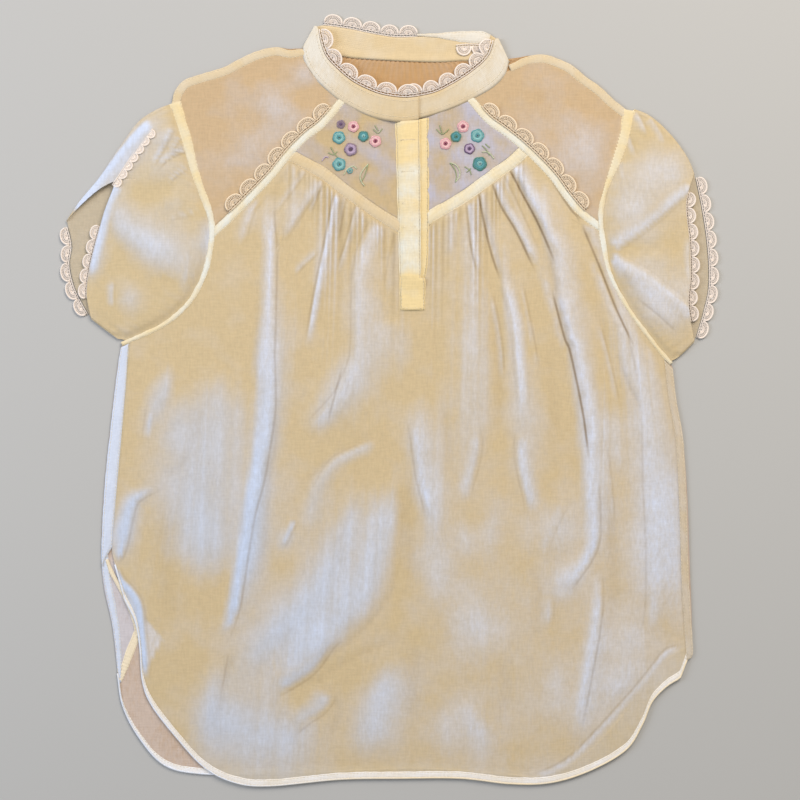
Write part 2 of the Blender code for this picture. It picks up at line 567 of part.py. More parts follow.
def make_sleeve(name, shape, armhole, folds, material):
    # a tube pressed flat: the upper and the lower face share their two folded edges
    turn = 1 if armhole is ARMHOLE_RIGHT else -1
    arm_front = moved_aside(armhole, turn * (ARMHOLE_BAND / 2 + SLEEVE_CLEAR))
    arm_back = moved_aside(armhole, turn * SLEEVE_CLEAR)
    start = np.array(shape["upper"][0], float)
    finish = np.array(shape["lower"][0], float)
    across = np.array((0, 0.008, 0.06, 0.14, 0.23, 0.32, 0.41, 0.5, 0.59, 0.68, 0.77, 0.86, 0.94, 0.992, 1))
    along = np.linspace(0, 1, 9)
    faces = []
    for arm, cuff in ((arm_front, shape["front_edge"]), (arm_back, shape["back_edge"])):
        head = np.vstack((start, between(arm, arm[3], arm[-10], 40), finish))
        plan = patch(from_fractions(head, across), from_fractions(smooth(cuff), across),
                     from_fractions(smooth(shape["upper"]), along),
                     from_fractions(smooth(shape["lower"]), along), across, along)
        faces.append(plan)
    upper, lower = faces
    edge = np.ones(len(across))
    edge[[0, -1]] = 0.0
    rim = np.minimum(distance_to(upper, upper[:, 0]), distance_to(upper, upper[:, -1]))
    ends = smooth_step(distance_to(upper, upper[0]) / 14)
    puff = (SLEEVE_PUFF + fold_height(upper, folds)) * smooth_step(rim / 16) * ends
    upper_z = SLEEVE_EDGE + (SLEEVE_TOP - SLEEVE_EDGE) * edge + puff
    lower_z = np.broadcast_to(SLEEVE_EDGE * (1 - edge), lower.shape[:2])
    top_face = np.concatenate((upper, upper_z[..., None]), axis=2)
    bottom_face = np.concatenate((lower, lower_z[..., None]), axis=2)
    ring = np.concatenate((top_face, bottom_face[:, ::-1][:, 1:]), axis=1)
    sleeve = add_object(name, grid_mesh(name, ring, closed=True), material)
    add_wall(sleeve, WALL, -1.0 if turn > 0 else 1.0)


def collar_sections(rows, count):
    table = np.array(rows, float)
    seam = resample(smooth(table[:, :2]), count)
    upper = resample(smooth(table[:, 2:]), count)
    return seam, upper


def make_collar(material):
    # one band: over end, left crescent, left fold, back, right fold, right crescent, under end
    half = WALL / 2
    seam_l, top_l = collar_sections(COLLAR_LEFT, 18)
    seam_r, top_r = collar_sections(COLLAR_RIGHT, 18)
    back_seam = resample(smooth(BACK_NECK), 16)
    back_top = resample(smooth(BACK_BAND_TOP), 16)
    over = (TOP_LEVEL - FRONT_LEVEL) * smooth_step((seam_l[:, 0] + 14) / 22)
    under = (OVER_LEVEL - FRONT_LEVEL) * smooth_step((52 - seam_r[:, 0]) / 18)
    low_l = FRONT_LEVEL + half + over
    low_r = FRONT_LEVEL + half + under
    lift_l = np.full(len(seam_l), COLLAR_LIFT)
    lift_r = np.full(len(seam_r), COLLAR_LIFT)

    def section(seam, upper, z_seam, z_upper):
        return np.array(((*seam, z_seam), (*upper, z_upper)))

    def fold(seam, upper, z_seam, z_upper, outward, upward):
        # half a turn between the front level and the back level
        turn = []
        for step in range(1, 6):
            angle = math.pi * step / 6
            pair = []
            for point, z_front in ((seam, z_seam), (upper, z_upper)):
                radius = (z_front - half) / 2
                rest = half + radius
                z = rest + radius * math.cos(angle) * (-1 if upward else 1)
                plan = np.array(point) + np.array(outward) * radius * math.sin(angle)
                pair.append((*plan, z))
            turn.append(np.array(pair))
        return turn

    sections = [section(s, t, z, z + lift) for s, t, z, lift in zip(seam_l, top_l, low_l, lift_l)]
    sections += fold(seam_l[-1], top_l[-1], low_l[-1], low_l[-1] + COLLAR_LIFT, (-0.85, 0.53), False)
    sections += [section(s, t, half, half) for s, t in zip(back_seam, back_top)]
    sections += fold(seam_r[0], top_r[0], low_r[0], low_r[0] + COLLAR_LIFT, (0.89, 0.46), True)
    sections += [section(s, t, z, z + lift) for s, t, z, lift in zip(seam_r, top_r, low_r, lift_r)]
    pairs = np.array(sections)
    share = np.linspace(0, 1, 4)[None, :, None]
    grid = pairs[:, :1] * (1 - share) + pairs[:, 1:] * share
    collar = add_object("collar_band", grid_mesh("collar_band", grid, closed=True), material)
    add_wall(collar, WALL, 0.0)
    return sections


def make_plackets(material):
    # the flap with its box end, over the strip that it closes on
    flap, under = PLACKET_OVER, PLACKET_UNDER
    top = 254.0
    left = resample(np.array(((flap["left"], top), (flap["left"] + 4, flap["box_top"]))), 12)
    right = resample(np.array(((flap["right"], top + 1.8), (flap["right"] + 1, flap["box_top"]))), 12)
    box_left = np.array(((flap["box_left"], flap["box_top"] - 1), (flap["box_left"], flap["end"])))
    box_right = np.array(((flap["box_right"], flap["box_top"] - 1), (flap["box_right"], flap["end"])))
    left = np.vstack((left, resample(box_left, 4)))
    right = np.vstack((right, resample(box_right, 4)))
    plan = patch(resample(np.array((left[0], right[0])), 4), resample(np.array((left[-1], right[-1])), 4),
                 left, right)
    sheet("placket_over", plan, TOP_LEVEL, material)
    low_left = resample(np.array(((under["left"], top), (under["left"], under["end"]))), 14)
    low_right = resample(np.array(((under["right"], top + 4), (under["right"], under["end"]))), 14)
    strip("placket_under", low_left, low_right, OVER_LEVEL, material, WALL)


def make_collar_lace(sections, material):
    # front strips point into the neck opening, the back strip stands above the band
    gap = CLEAR + 0.05
    half = WALL / 2
    tops = np.array([pair[1] for pair in sections])
    ways = np.array([pair[1] - pair[0] for pair in sections])
    ways /= np.linalg.norm(ways, axis=1)[:, None]
    root = tops + ways * gap
    root[:, 2] -= half
    lace("collar_lace_left", root[0:17], -1, 6, 0, material, depth=12.0, rise=0.6)
    lace("collar_lace_right", root[-17:], -1, 6, 0, material, depth=12.0, rise=0.6)
    back = root[23:31].copy()
    back[:, 2] = 0.0
    lace("collar_lace_back", back, 1, 5, 0, material, depth=11.0)
    turned = np.array(((62, 325.0), (75, 326.0), (91, 325.0)))
    lace("collar_lace_turned", smooth(turned), -1, 2, LAYER, material, depth=11.0)


def make_body_lace(edges, material):
    # lace let into the raglan seams lies on the shoulders, that of the yoke seams under the front
    for side, face, turn in (("left", "raglan_left_out", -1), ("right", "raglan_right_out", 1)):
        line = edges[face]
        start = np.array(RAGLAN_LEFT[0] if side == "left" else RAGLAN_RIGHT[0], float)
        end = np.array(RAGLAN_LEFT[-2] if side == "left" else RAGLAN_RIGHT[-2], float)
        root = between(line, start + (0, -8), end, 60)
        lace(f"raglan_lace_{side}", root, turn, 7, OVER_LEVEL, material, depth=11.0)
    for side, turn in (("left", -1), ("right", -1)):
        line = edges[f"yoke_{side}_down"]
        start, end = ((-84, 212), (-14, 166)) if side == "left" else ((58, 173), (112, 211))
        lace(f"yoke_lace_{side}", between(line, start, end, 60), turn, 5, FRONT_LEVEL, material, depth=11.0)


def make_sleeve_lace(material):
    # back_edge strips lie on the surface, front_edge strips on the lower face of the sleeve
    left, right = SLEEVE_LEFT, SLEEVE_RIGHT
    back = between(moved_aside(left["back_edge"], -SLEEVE_CLEAR), (-295, 158), (-276, 78), 60)
    lace("sleeve_lace_left_back", back, -1, 5, 0.0, material, depth=9.0)
    front = between(moved_aside(left["front_edge"], -CLEAR), (-263, 158), (-277, 92), 60)
    lace("sleeve_lace_left_front", front, -1, 4, LAYER + 0.3, material, depth=10.0)
    top = moved_aside(left["upper"], 14.0)
    over = between(top, (-218, 250), (-254, 196), 60)
    lace("sleeve_lace_left_top", over, 1, 4, SLEEVE_TOP + SLEEVE_PUFF + 1.3, material, depth=11.0)
    back = between(moved_aside(right["back_edge"], SLEEVE_CLEAR), (282, 203), (283, 56), 60)
    lace("sleeve_lace_right_back", back, 1, 9, 0.0, material, depth=9.0)
    front = between(moved_aside(right["front_edge"], CLEAR), (276, 190), (277, 70), 60)
    lace("sleeve_lace_right_front", front, 1, 8, LAYER + 0.3, material, depth=9.0)


for old in list(bpy.data.objects):
    bpy.data.objects.remove(old, do_unlink=True)

blouse = bpy.data.collections.new("Gauze_blouse")
bpy.context.scene.collection.children.link(blouse)
gauze = make_material("Cotton gauze", "gauze")
band_cloth = make_material("Gauze, folded double", "band")
lace_cotton = make_material("Cotton lace", "lace")
underside = make_material("Gauze, underside", "underside")

seam_edges = yoke_edges()
make_back(underside)
make_front(seam_edges, gauze)
make_yokes(seam_edges, gauze)
make_shoulders(seam_edges, gauze, band_cloth)
make_bands(seam_edges, band_cloth)
make_side_seams(seam_edges, band_cloth)
make_sleeve("sleeve_left", SLEEVE_LEFT, ARMHOLE_LEFT, SLEEVE_LEFT_FOLDS, gauze)
make_sleeve("sleeve_right", SLEEVE_RIGHT, ARMHOLE_RIGHT, SLEEVE_RIGHT_FOLDS, gauze)
collar_line = make_collar(band_cloth)
make_plackets(band_cloth)
make_collar_lace(collar_line, lace_cotton)
make_body_lace(seam_edges, lace_cotton)
make_sleeve_lace(lace_cotton)
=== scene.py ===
import math

import bpy
import numpy as np
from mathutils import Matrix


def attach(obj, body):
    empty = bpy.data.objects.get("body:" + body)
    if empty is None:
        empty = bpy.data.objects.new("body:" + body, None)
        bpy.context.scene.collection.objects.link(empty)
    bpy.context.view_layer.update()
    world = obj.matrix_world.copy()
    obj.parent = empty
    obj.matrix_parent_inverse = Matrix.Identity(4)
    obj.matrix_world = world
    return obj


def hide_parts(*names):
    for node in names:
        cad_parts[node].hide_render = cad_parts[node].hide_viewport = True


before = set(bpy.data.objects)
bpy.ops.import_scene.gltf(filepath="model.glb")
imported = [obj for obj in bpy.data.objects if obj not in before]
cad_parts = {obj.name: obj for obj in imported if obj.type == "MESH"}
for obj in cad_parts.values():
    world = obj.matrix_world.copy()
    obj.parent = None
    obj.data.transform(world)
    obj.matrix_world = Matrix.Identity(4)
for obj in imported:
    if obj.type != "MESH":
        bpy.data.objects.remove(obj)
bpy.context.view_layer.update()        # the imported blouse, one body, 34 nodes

print("frame loaded,", len(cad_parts), "nodes")

# Lengths are in millimetres until a mesh is made. X runs across the garment, Y from hem to neck,
# Z up from the floor. garmentMiddle is taken off every point, as it is in the solids.
mm = 0.001
garmentMiddle = np.array((1.0, -0.95, 0.0))

# Seam lines that several pieces share, columns x, y
seamLines = dict(
    raglanLeft=((-46, 270), (-61, 253), (-76, 241), (-91, 226), (-107, 206), (-127, 185),
                (-144, 168), (-160, 153)),
    raglanRight=((79, 271), (91, 257), (106, 246), (121, 234), (136, 220), (151, 204), (164, 186),
                 (178, 170), (195, 157)),
    yokeLeft=((-89, 223), (-59, 206), (-37, 189), (-8, 169), (10, 158)),
    yokeRight=((38, 167), (67, 184), (91, 201), (113, 217), (124, 227)),
    armLeft=((-196, 272), (-191, 255), (-185, 235), (-179, 212), (-171, 189), (-164, 169),
             (-162, 154), (-163.5, 138), (-167, 121), (-174, 103), (-186, 85), (-208, 67), (-245, 50)),
    armRight=((221, 265), (218, 246), (211, 224), (202, 201), (196, 178), (195, 162), (197, 143),
              (201, 122), (208, 104), (222, 80), (236, 61), (250, 43), (260, 32)),
    shoulderLeft=((-81, 322.5), (-91, 321), (-104, 323), (-122, 319), (-137, 312), (-153, 304),
                  (-173, 298), (-185, 294), (-192, 289), (-197, 281), (-199, 273)),
    shoulderRight=((117, 311), (123, 313.5), (131, 315.5), (144, 316), (158, 311.5), (169, 306),
                   (180, 297), (195, 286), (208, 274), (218, 266)),
    backNeck=((-78, 322), (-61, 319), (-35, 314), (11, 311), (47, 310), (71, 311), (110, 309)),
    backBandTop=((-65, 344), (-37, 340), (-10, 334.5), (11, 332), (44, 334), (65, 336), (85, 337),
                 (98, 333)),
    frontSideLeft=((-246, 47), (-248, 17), (-252, -29), (-257, -84), (-261, -135), (-258, -154)),
    frontSideRight=((261, 30), (265, -3), (271, -38), (274, -93), (276, -158), (279, -213), (281, -240)),
    frontHem=((-258, -154), (-242, -185), (-232, -206), (-228, -231), (-226, -259), (-218, -281),
              (-196, -310), (-169, -339), (-141, -353), (-109, -356), (-45, -350), (11, -349),
              (66, -349), (112, -354), (149, -353), (185, -342), (218, -323), (233, -300),
              (242, -279), (255, -265), (268, -257), (281, -240)),
    backSideLeft=((-246, 48), (-249, 30), (-254, -11), (-261, -77), (-264, -136), (-262, -172),
                  (-254, -209), (-249, -253)),
    backSideRight=((261, 30), (265, -3), (271, -38), (275, -93), (277, -150), (279, -209), (277, -227)),
    backHem=((-249, -253), (-244, -283), (-229, -312), (-206, -337), (-173, -345), (-118, -345),
             (-54, -343), (29, -340), (103, -345), (139, -347), (172, -334), (199, -310), (227, -276),
             (250, -245), (277, -227)))

# Collar seam and upper edge, columns seam x, seam y, edge x, edge y
collarLeft = ((28, 257, 28, 277), (11, 255, 12, 276), (-15, 260, -9, 280), (-40, 272, -31, 290),
              (-58, 286, -46, 302), (-71, 300, -57, 314), (-77, 312, -62, 327), (-78, 323, -65, 344))
collarRight = ((110, 310, 98, 333), (106, 298, 92, 315), (94, 286, 79, 302), (70, 273, 61, 290),
               (47, 264, 43, 281), (30, 259, 28, 277.5), (15, 257, 15, 276))

# Widths of the seams and the height of each layer of the flat garment
seamWidths = dict(raglan=6.0, yoke=10.0, shoulder=6.5, side=6.5)
layers = dict(back=0.3, front=1.6, clear=0.4, armTuck=1.2, bandEnd=2.2, sleeveClear=0.8, shoulderClear=1.2)
bandLevel = 1.35        # underside of the seam bands, just above the cloth they join
runOn = 12              # how far a seam's edge is run past its ends, so that edges can be made to meet

# Steps that a path is cut into: to measure along it, to find where two cross, and along a crease
pathSteps = dict(fine=900, cross=500, crest=80, edge=90)


# Paths in plan

def resample(path, count):
    # the same path in even steps of its own length
    path = np.asarray(path, float)
    along = np.concatenate(([0.0], np.cumsum(np.linalg.norm(np.diff(path, axis=0), axis=1))))
    wanted = np.linspace(0.0, along[-1], count)
    return np.stack([np.interp(wanted, along, path[:, axis]) for axis in range(path.shape[1])], 1)


def curveThrough(points, perSpan=14):
    # Catmull-Rom: each span is the cubic that leaves its two points along their neighbours' chord
    p = np.asarray(points, float)
    p = np.vstack((2 * p[0] - p[1], p, 2 * p[-1] - p[-2]))
    a, b, c, d = (p[i:len(p) - 3 + i][:, None] for i in range(4))
    t = np.linspace(0.0, 1.0, perSpan, endpoint=False)[None, :, None]
    spans = 0.5 * (2 * b + (c - a) * t + (2 * a - 5 * b + 4 * c - d) * t ** 2
                   + (3 * b - a - 3 * c + d) * t ** 3)
    return np.vstack((spans.reshape(-1, p.shape[1]), p[-2:-1]))


def leftOf(path):
    # unit vectors to the left of a path's direction
    tangent = np.gradient(path[:, :2], axis=0)
    tangent /= np.linalg.norm(tangent, axis=1)[:, None]
    return np.stack((-tangent[:, 1], tangent[:, 0]), 1)


def stepAside(points, distance, extend=0.0):
    # the smooth path moved to the left of its own direction, its ends run on by extend
    path = curveThrough(points)
    normal = leftOf(path)
    tangent = np.stack((normal[:, 1], -normal[:, 0]), 1)
    path = path + normal * distance
    if extend:
        path = np.vstack((path[0] - tangent[0] * extend, path, path[-1] + tangent[-1] * extend))
    return path


def meeting(pathA, pathB):
    # where two paths cross, or come nearest
    a, b = resample(pathA, pathSteps["cross"]), resample(pathB, pathSteps["cross"])
    gaps = np.linalg.norm(a[:, None] - b[None], axis=2)
    i, j = np.unravel_index(np.argmin(gaps), gaps.shape)
    return (a[i] + b[j]) / 2


def stretchOf(path, start, end, count):
    # the part of a path from beside one point to beside another
    dense = resample(path, pathSteps["fine"])
    i = int(np.argmin(np.linalg.norm(dense - np.array(start, float), axis=1)))
    j = int(np.argmin(np.linalg.norm(dense - np.array(end, float), axis=1)))
    part = dense[i:j + 1] if i <= j else dense[j:i + 1][::-1]
    return resample(part, count)


def atShares(path, shares):
    # the points at given shares of a path's length
    dense = resample(path, pathSteps["fine"])
    step = np.linspace(0, 1, len(dense))
    return np.stack([np.interp(shares, step, dense[:, axis]) for axis in range(2)], 1)


def ease(value):
    # 0 up to 0, 1 from 1, and a soft step between
    value = np.clip(value, 0.0, 1.0)
    return value * value * (3 - 2 * value)


def measure(path):
    # how far along each point of a path is
    return np.concatenate(([0.0], np.cumsum(np.linalg.norm(np.diff(path, axis=0), axis=1))))


# Surfaces and meshes

def fillPatch(top, bottom, left, right, u=None, v=None, lean=1.0, hold=1):
    # a grid filled in from its four edges: the rule between top and bottom, plus each side's own
    # bend, which fades inwards. lean over 1 lets columns start straight down and spread later.
    u = np.linspace(0, 1, len(top)) if u is None else np.asarray(u)
    v = np.linspace(0, 1, len(left)) if v is None else np.asarray(v)
    u = u[None, :, None]
    v = np.stack((v ** lean, v), axis=1)[:, None, :]
    ruled = (1 - v) * top[None] + v * bottom[None]
    return (ruled + (1 - u) ** hold * (left[:, None] - ruled[:, :1])
            + u ** hold * (right[:, None] - ruled[:, -1:]))


def distanceTo(plan, path):
    # how far each point of a plan is from a path
    flat = plan.reshape(-1, 2)
    best = np.full(len(flat), np.inf)
    for point in resample(path, pathSteps["edge"]):
        best = np.minimum(best, np.hypot(flat[:, 0] - point[0], flat[:, 1] - point[1]))
    return best.reshape(plan.shape[:-1])


def nearCrest(flat, crest, reach):
    # the points near a crest, how far east of it and at what share along it each one is, and the
    # crest's own row beside it
    last = pathSteps["crest"] - 1
    path = resample(curveThrough(crest), last + 1)
    near = np.all((flat > path[:, :2].min(0) - reach) & (flat < path[:, :2].max(0) + reach), axis=1)
    offset = flat[near][:, None] - path[None, :, :2]
    gaps = np.linalg.norm(offset, axis=2)
    nearest = np.argmin(gaps, axis=1)
    each = np.arange(len(gaps))
    aside = np.sum(offset[each, nearest] * leftOf(path)[nearest], axis=1)
    atEnd = (nearest == 0) | (nearest == last)
    aside = np.where(atEnd, np.sign(aside) * gaps[each, nearest], aside)
    return near, aside, nearest / last, path[nearest]


def swellHeights(plan, swells, scale=1.0):
    # Each swell is a long lens of cloth whose crest runs down the garment. Across it the height is
    # exp(-(gap / reach)^power), with one power for its west flank and one for its east: 4 is a
    # steep flank, and 2 a soft one that reaches nearly twice the half width. Along it the half
    # width changes and both ends fade. Overlapping heights are joined as a cube root of cubes.
    # light is the same bell for the colour, as a share of full lift: partly the lifted cloth, which
    # hides the tan layer under it, and partly a painted highlight on the crest.
    flat = plan.reshape(-1, 2)
    cubes, dim = np.zeros(len(flat)), np.ones(len(flat))
    for crest, westPower, eastPower, height, light, startShare, endShare in swells:
        reach = 3.4 * max(row[2] for row in crest)
        near, aside, share, beside = nearCrest(flat, crest, reach)
        power = np.where(aside < 0, westPower, eastPower)
        spread = beside[:, 2] * (1 + 0.45 * (4 - power))
        taper = ease(share / min(2.4 * startShare, 0.5)) * ease((1 - share) / min(2.4 * endShare, 0.5))
        bell = taper * np.exp(-(np.abs(aside) / spread) ** (0.75 * power))
        cubes[near] += (scale * height * bell) ** 3
        dim[near] *= 1 - light * bell
    return np.cbrt(cubes).reshape(plan.shape[:-1]), (1 - dim).reshape(plan.shape[:-1])


def creaseDepths(plan, creases, scale=1.0):
    # each crease is a narrow furrow, depth * exp(-(gap / width)^2), with its own width on each side
    flat = plan.reshape(-1, 2)
    total = np.zeros(len(flat))
    for crest, westWidth, eastWidth, depth, startShare, endShare in creases:
        near, aside, share = nearCrest(flat, crest, 2.6 * max(westWidth, eastWidth))[:3]
        taper = ease(share / startShare) * ease((1 - share) / endShare)
        width = np.where(aside < 0, westWidth, eastWidth)
        total[near] += scale * depth * taper * np.exp(-(aside / width) ** 2)
    return total.reshape(plan.shape[:-1])


def pleatMarks(plan, pleats):
    # A pleat is a narrow ridge, steep on its dark side (-1 west, 1 east) and soft on the other, with
    # a furrow at its foot. s is the distance from its crest towards the dark side: the ridge is
    # exp(-(s / flank)^2), with flank 0.8 or 2 widths, and the furrow lies at s = 1.3 widths. The
    # same bell is a painted highlight on the crest, bright. The signed distance to the nearest furrow
    # and its strength go to the material, which paints the furrow's shade as a dark line finer than
    # the grid; every second pleat uses the second pair.
    flat = plan.reshape(-1, 2)
    rise, bright = np.zeros(len(flat)), np.zeros(len(flat))
    gaps, strengths = np.full((2, len(flat)), 20.0), np.zeros((2, len(flat)))
    for index, (crest, width, darkSide, light, depth, startShare, endShare) in enumerate(pleats):
        near, aside, share = nearCrest(flat, crest, 6 * width + 5)[:3]
        taper = ease(share / startShare) * ease((1 - share) / endShare)
        s = aside * darkSide
        away = s - 1.3 * width
        ridge = taper * np.exp(-(s / np.where(s > 0, 0.8 * width, 2.0 * width)) ** 2)
        rise[near] += (0.55 * light * width ** 0.6 * ridge
                       - 0.5 * depth * taper * np.exp(-(away / 2.6) ** 2))
        bright[near] = np.maximum(bright[near], light * ridge)
        strong = depth * taper * ease((7 - np.abs(away)) / 3)
        pair = index % 2
        closer = (np.abs(away) < np.abs(gaps[pair][near])) & (depth > 0)
        gaps[pair][near] = np.where(closer, away, gaps[pair][near])
        strengths[pair][near] = np.where(closer, strong, strengths[pair][near])
    marks = dict(gapA=gaps[0], gapB=gaps[1], lineA=strengths[0], lineB=strengths[1])
    return rise.reshape(plan.shape[:-1]), bright.reshape(plan.shape[:-1]), marks


def facesDown(grid):
    # whether a grid's rows and columns turn clockwise, seen from above
    across = grid[:-1, 1:] - grid[:-1, :-1]
    up = grid[1:, :-1] - grid[:-1, :-1]
    return np.sum(across[..., 0] * up[..., 1] - across[..., 1] * up[..., 0]) < 0


def gridFaces(rows, columns, wrap=False, flip=False):
    # the four corners of each cell of a grid; wrap joins the last column to the first
    index = np.arange(rows * columns).reshape(rows, columns)
    if wrap:
        index = np.concatenate((index, index[:, :1]), axis=1)
    quads = np.stack((index[:-1, :-1], index[:-1, 1:], index[1:, 1:], index[1:, :-1]), -1).reshape(-1, 4)
    return quads[:, ::-1] if flip else quads


def addPiece(name, points, faces, material, nodes=(), slot="gauze", uv=None, marks=None, wall=None):
    # a mesh from arrays, its place in its vertices; marks are values for the material, by name
    points = (np.asarray(points, float).reshape(-1, 3) - garmentMiddle) * mm
    mesh = bpy.data.meshes.new(name)
    mesh.from_pydata(points.tolist(), [], [list(face) for face in faces])
    if uv is not None:
        corners = np.empty(len(mesh.loops), int)
        mesh.loops.foreach_get("vertex_index", corners)
        layer = mesh.uv_layers.new(name="thread")
        layer.data.foreach_set("uv", np.asarray(uv, float).reshape(-1, 2)[corners].ravel())
    for mark, values in (marks or {}).items():
        layer = mesh.attributes.new(mark, "FLOAT", "POINT")
        layer.data.foreach_set("value", np.asarray(values, float).ravel())
    mesh.polygons.foreach_set("use_smooth", [True] * len(mesh.polygons))
    mesh.validate()
    mesh.update()
    piece = bpy.data.objects.new(name, mesh)
    bpy.context.scene.collection.objects.link(piece)
    mesh.materials.append(material)
    if wall:
        shell = piece.modifiers.new("wall", "SOLIDIFY")
        shell.thickness = wall * mm
        shell.offset = 0.0
        shell.use_even_offset = False
    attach(piece, "root")
    if nodes:
        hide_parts(*nodes)
    return piece


def clothGrid(name, plan, heights, material, nodes, slot="gauze", lift=None, wall=0.45, marks=None):
    # a sheet of cloth on a grid; it was cut and laid straight, so its threads run with X and Y
    grid = np.concatenate((plan, np.broadcast_to(heights, plan.shape[:2])[..., None]), axis=2)
    flip = facesDown(grid)
    if lift is None:
        lift = np.zeros(plan.shape[:2])
    return addPiece(name, grid, gridFaces(*grid.shape[:2], flip=flip), material, nodes, slot,
                    uv=plan, marks=dict(lift=lift, **(marks or {})), wall=wall)


def loftFaces(count, ring):
    # rings joined one to the next, with a face over each end
    quads = gridFaces(count, ring, wrap=True).tolist()
    return quads + [list(range(ring))[::-1], list(range((count - 1) * ring, count * ring))]


def bandColumns(stitched):
    # places across a folded band, from -1 to 1, closest beside its two rows of stitches
    half = np.array((0.15, 0.45, stitched - 0.08, stitched, stitched + 0.06, 0.86, 0.96, 1))
    return np.concatenate((-half[::-1], half))


def bandSections(edgeA, edgeB, base, thick, pucker, stitched):
    # a folded band: across it the top is thick * (1 - |across|^2.6), its edges sunk into the cloth,
    # with a furrow under each row of stitches; along it the cloth puckers and its edges stray
    across = bandColumns(stitched)
    furrow = np.exp(-((np.abs(across) - stitched) / 0.07) ** 2)
    top = 0.12 + thick * (1 - np.abs(across) ** 2.6) - 0.16 * thick * furrow
    along = measure(edgeA)
    ripple = pucker * np.sin(along * 2 * math.pi / 3.1 + 1.7 * np.sin(along / 11.0))
    share = (across + 1) / 2
    wave = 0.28 * np.sin(along / 1.9 + 2 * np.sin(along / 8.3)) + 0.2 * np.sin(along / 4.7)
    stray = (edgeB - edgeA) / np.linalg.norm(edgeB - edgeA, axis=1)[:, None]
    stray *= (wave * 2.2 * pucker)[:, None]
    plan = (edgeA - stray)[:, None] * (1 - share[:, None]) + (edgeB + stray)[:, None] * share[:, None]
    base = np.asarray(base, float)
    base = np.broadcast_to(base.reshape(-1, 1) if base.ndim < 2 else base,
                           (len(edgeA), 2 if base.ndim < 2 else base.shape[1]))
    low = base if base.shape[1] > 2 else base[:, :1] * (1 - share[None]) + base[:, 1:] * share[None]
    up = low + top[None] + ripple[:, None] * (1 - np.abs(across[None]) ** 4) * 0.6
    upper = np.concatenate((plan, up[..., None]), 2)
    lower = np.concatenate((plan, low[..., None]), 2)[:, ::-1]
    return np.concatenate((upper, lower), axis=1), across, along


stitchRows = []
threadRadius = 0.17      # sewing thread
stitchColumns = (4, 11)  # the columns of a band's section that its two rows of stitches lie on


def addStitches(path, stitch=2.3, gap=0.8):
    # a row of sewn stitches, each a short thread that dips at both ends
    path = np.asarray(path, float)
    along = measure(path)
    starts = np.arange(gap, along[-1] - stitch, stitch + gap)
    at = starts[:, None] + np.array((0.0, 0.3, 0.7, 1.0))[None] * stitch
    points = np.stack([np.interp(at, along, path[:, axis]) for axis in range(3)], -1)
    points[..., 2] += threadRadius * np.array((-0.6, 0.9, 0.9, -0.6))[None]
    stitchRows.append(tubes(points, threadRadius, 4))


def addBand(name, edgeA, edgeB, base, thick, material, nodes, lift, pucker=0.2, stitched=0.72):
    # a folded band between two edges, with its rows of stitches; stitched is how far out they lie
    edgeA, edgeB = np.asarray(edgeA, float), np.asarray(edgeB, float)
    sections, across, along = bandSections(edgeA, edgeB, base, thick, pucker, stitched)
    width = np.linalg.norm(edgeA - edgeB, axis=1).mean() / 2
    ring = np.concatenate((across, across[::-1]))
    uv = np.stack(np.broadcast_arrays(ring[None] * width, along[:, None]), -1)
    faces = loftFaces(*sections.shape[:2])
    for column in stitchColumns:
        addStitches(sections[:, column] + (0, 0, 0.06))
    if not facesDown(np.stack((edgeA, edgeB))):
        faces = [face[::-1] for face in faces]
    lift = np.broadcast_to(np.asarray(lift, float).reshape(-1, 1), sections.shape[:2])
    return addPiece(name, sections, faces, material, nodes, "band", uv=uv, marks=dict(lift=lift))


def tubes(paths, radius, sides=5):
    # a round profile carried along many paths of as many points each: every ring stands across
    # the path's direction, and both ends are closed
    paths = np.asarray(paths, float)
    tangent = np.gradient(paths, axis=1)
    tangent /= np.maximum(np.linalg.norm(tangent, axis=2), 1e-9)[..., None]
    aside = np.cross(tangent, np.array((0.0, 0.0, 1.0)))
    aside /= np.maximum(np.linalg.norm(aside, axis=2), 1e-9)[..., None]
    above = np.cross(aside, tangent)
    turn = np.arange(sides) / sides * 2 * math.pi
    radius = np.broadcast_to(np.asarray(radius, float), paths.shape[:2])
    ring = (aside[:, :, None] * np.cos(turn)[None, None, :, None]
            + above[:, :, None] * np.sin(turn)[None, None, :, None])
    points = paths[:, :, None] + ring * radius[..., None, None]
    count, length = paths.shape[:2]
    one = gridFaces(length, sides, wrap=True, flip=True)
    start = np.arange(count)[:, None, None] * length * sides
    quads = (one[None] + start).reshape(-1, 4).tolist()
    caps = [np.arange(sides), np.arange(sides)[::-1] + (length - 1) * sides]
    ends = np.concatenate([cap[None] + np.arange(count)[:, None] * length * sides for cap in caps])
    return points.reshape(-1, 3), quads + ends.tolist()


def joinParts(parts):
    # several lists of points and faces as one
    points, faces, start = [], [], 0
    for somePoints, someFaces in parts:
        points.append(somePoints)
        faces += [[corner + start for corner in face] for face in someFaces]
        start += len(somePoints)
    return np.vstack(points), faces


# Materials

def linearColour(hexText):
    # sRGB hex to the linear values a material takes
    values = [int(hexText[i:i + 2], 16) / 255 for i in (0, 2, 4)]
    return [v / 12.92 if v <= 0.04045 else ((v + 0.055) / 1.055) ** 2.4 for v in values] + [1.0]


def addNode(tree, kind, settings=None, values=None, links=None):
    # a node with its settings, its sockets' own values, and links into its sockets
    node = tree.nodes.new(kind)
    for key, value in (settings or {}).items():
        setattr(node, key, value)
    for key, value in (values or {}).items():
        node.inputs[key].default_value = value
    for key, source in (links or {}).items():
        tree.links.new(source, node.inputs[key])
    return node


weave = dict(pitch=1.5, rough=0.9, bump=0.25, sheen=0.25, coolLight="C6DAF8", shadeColour="8E7858",
             furrowHalf=1.9, furrowShade=0.62)


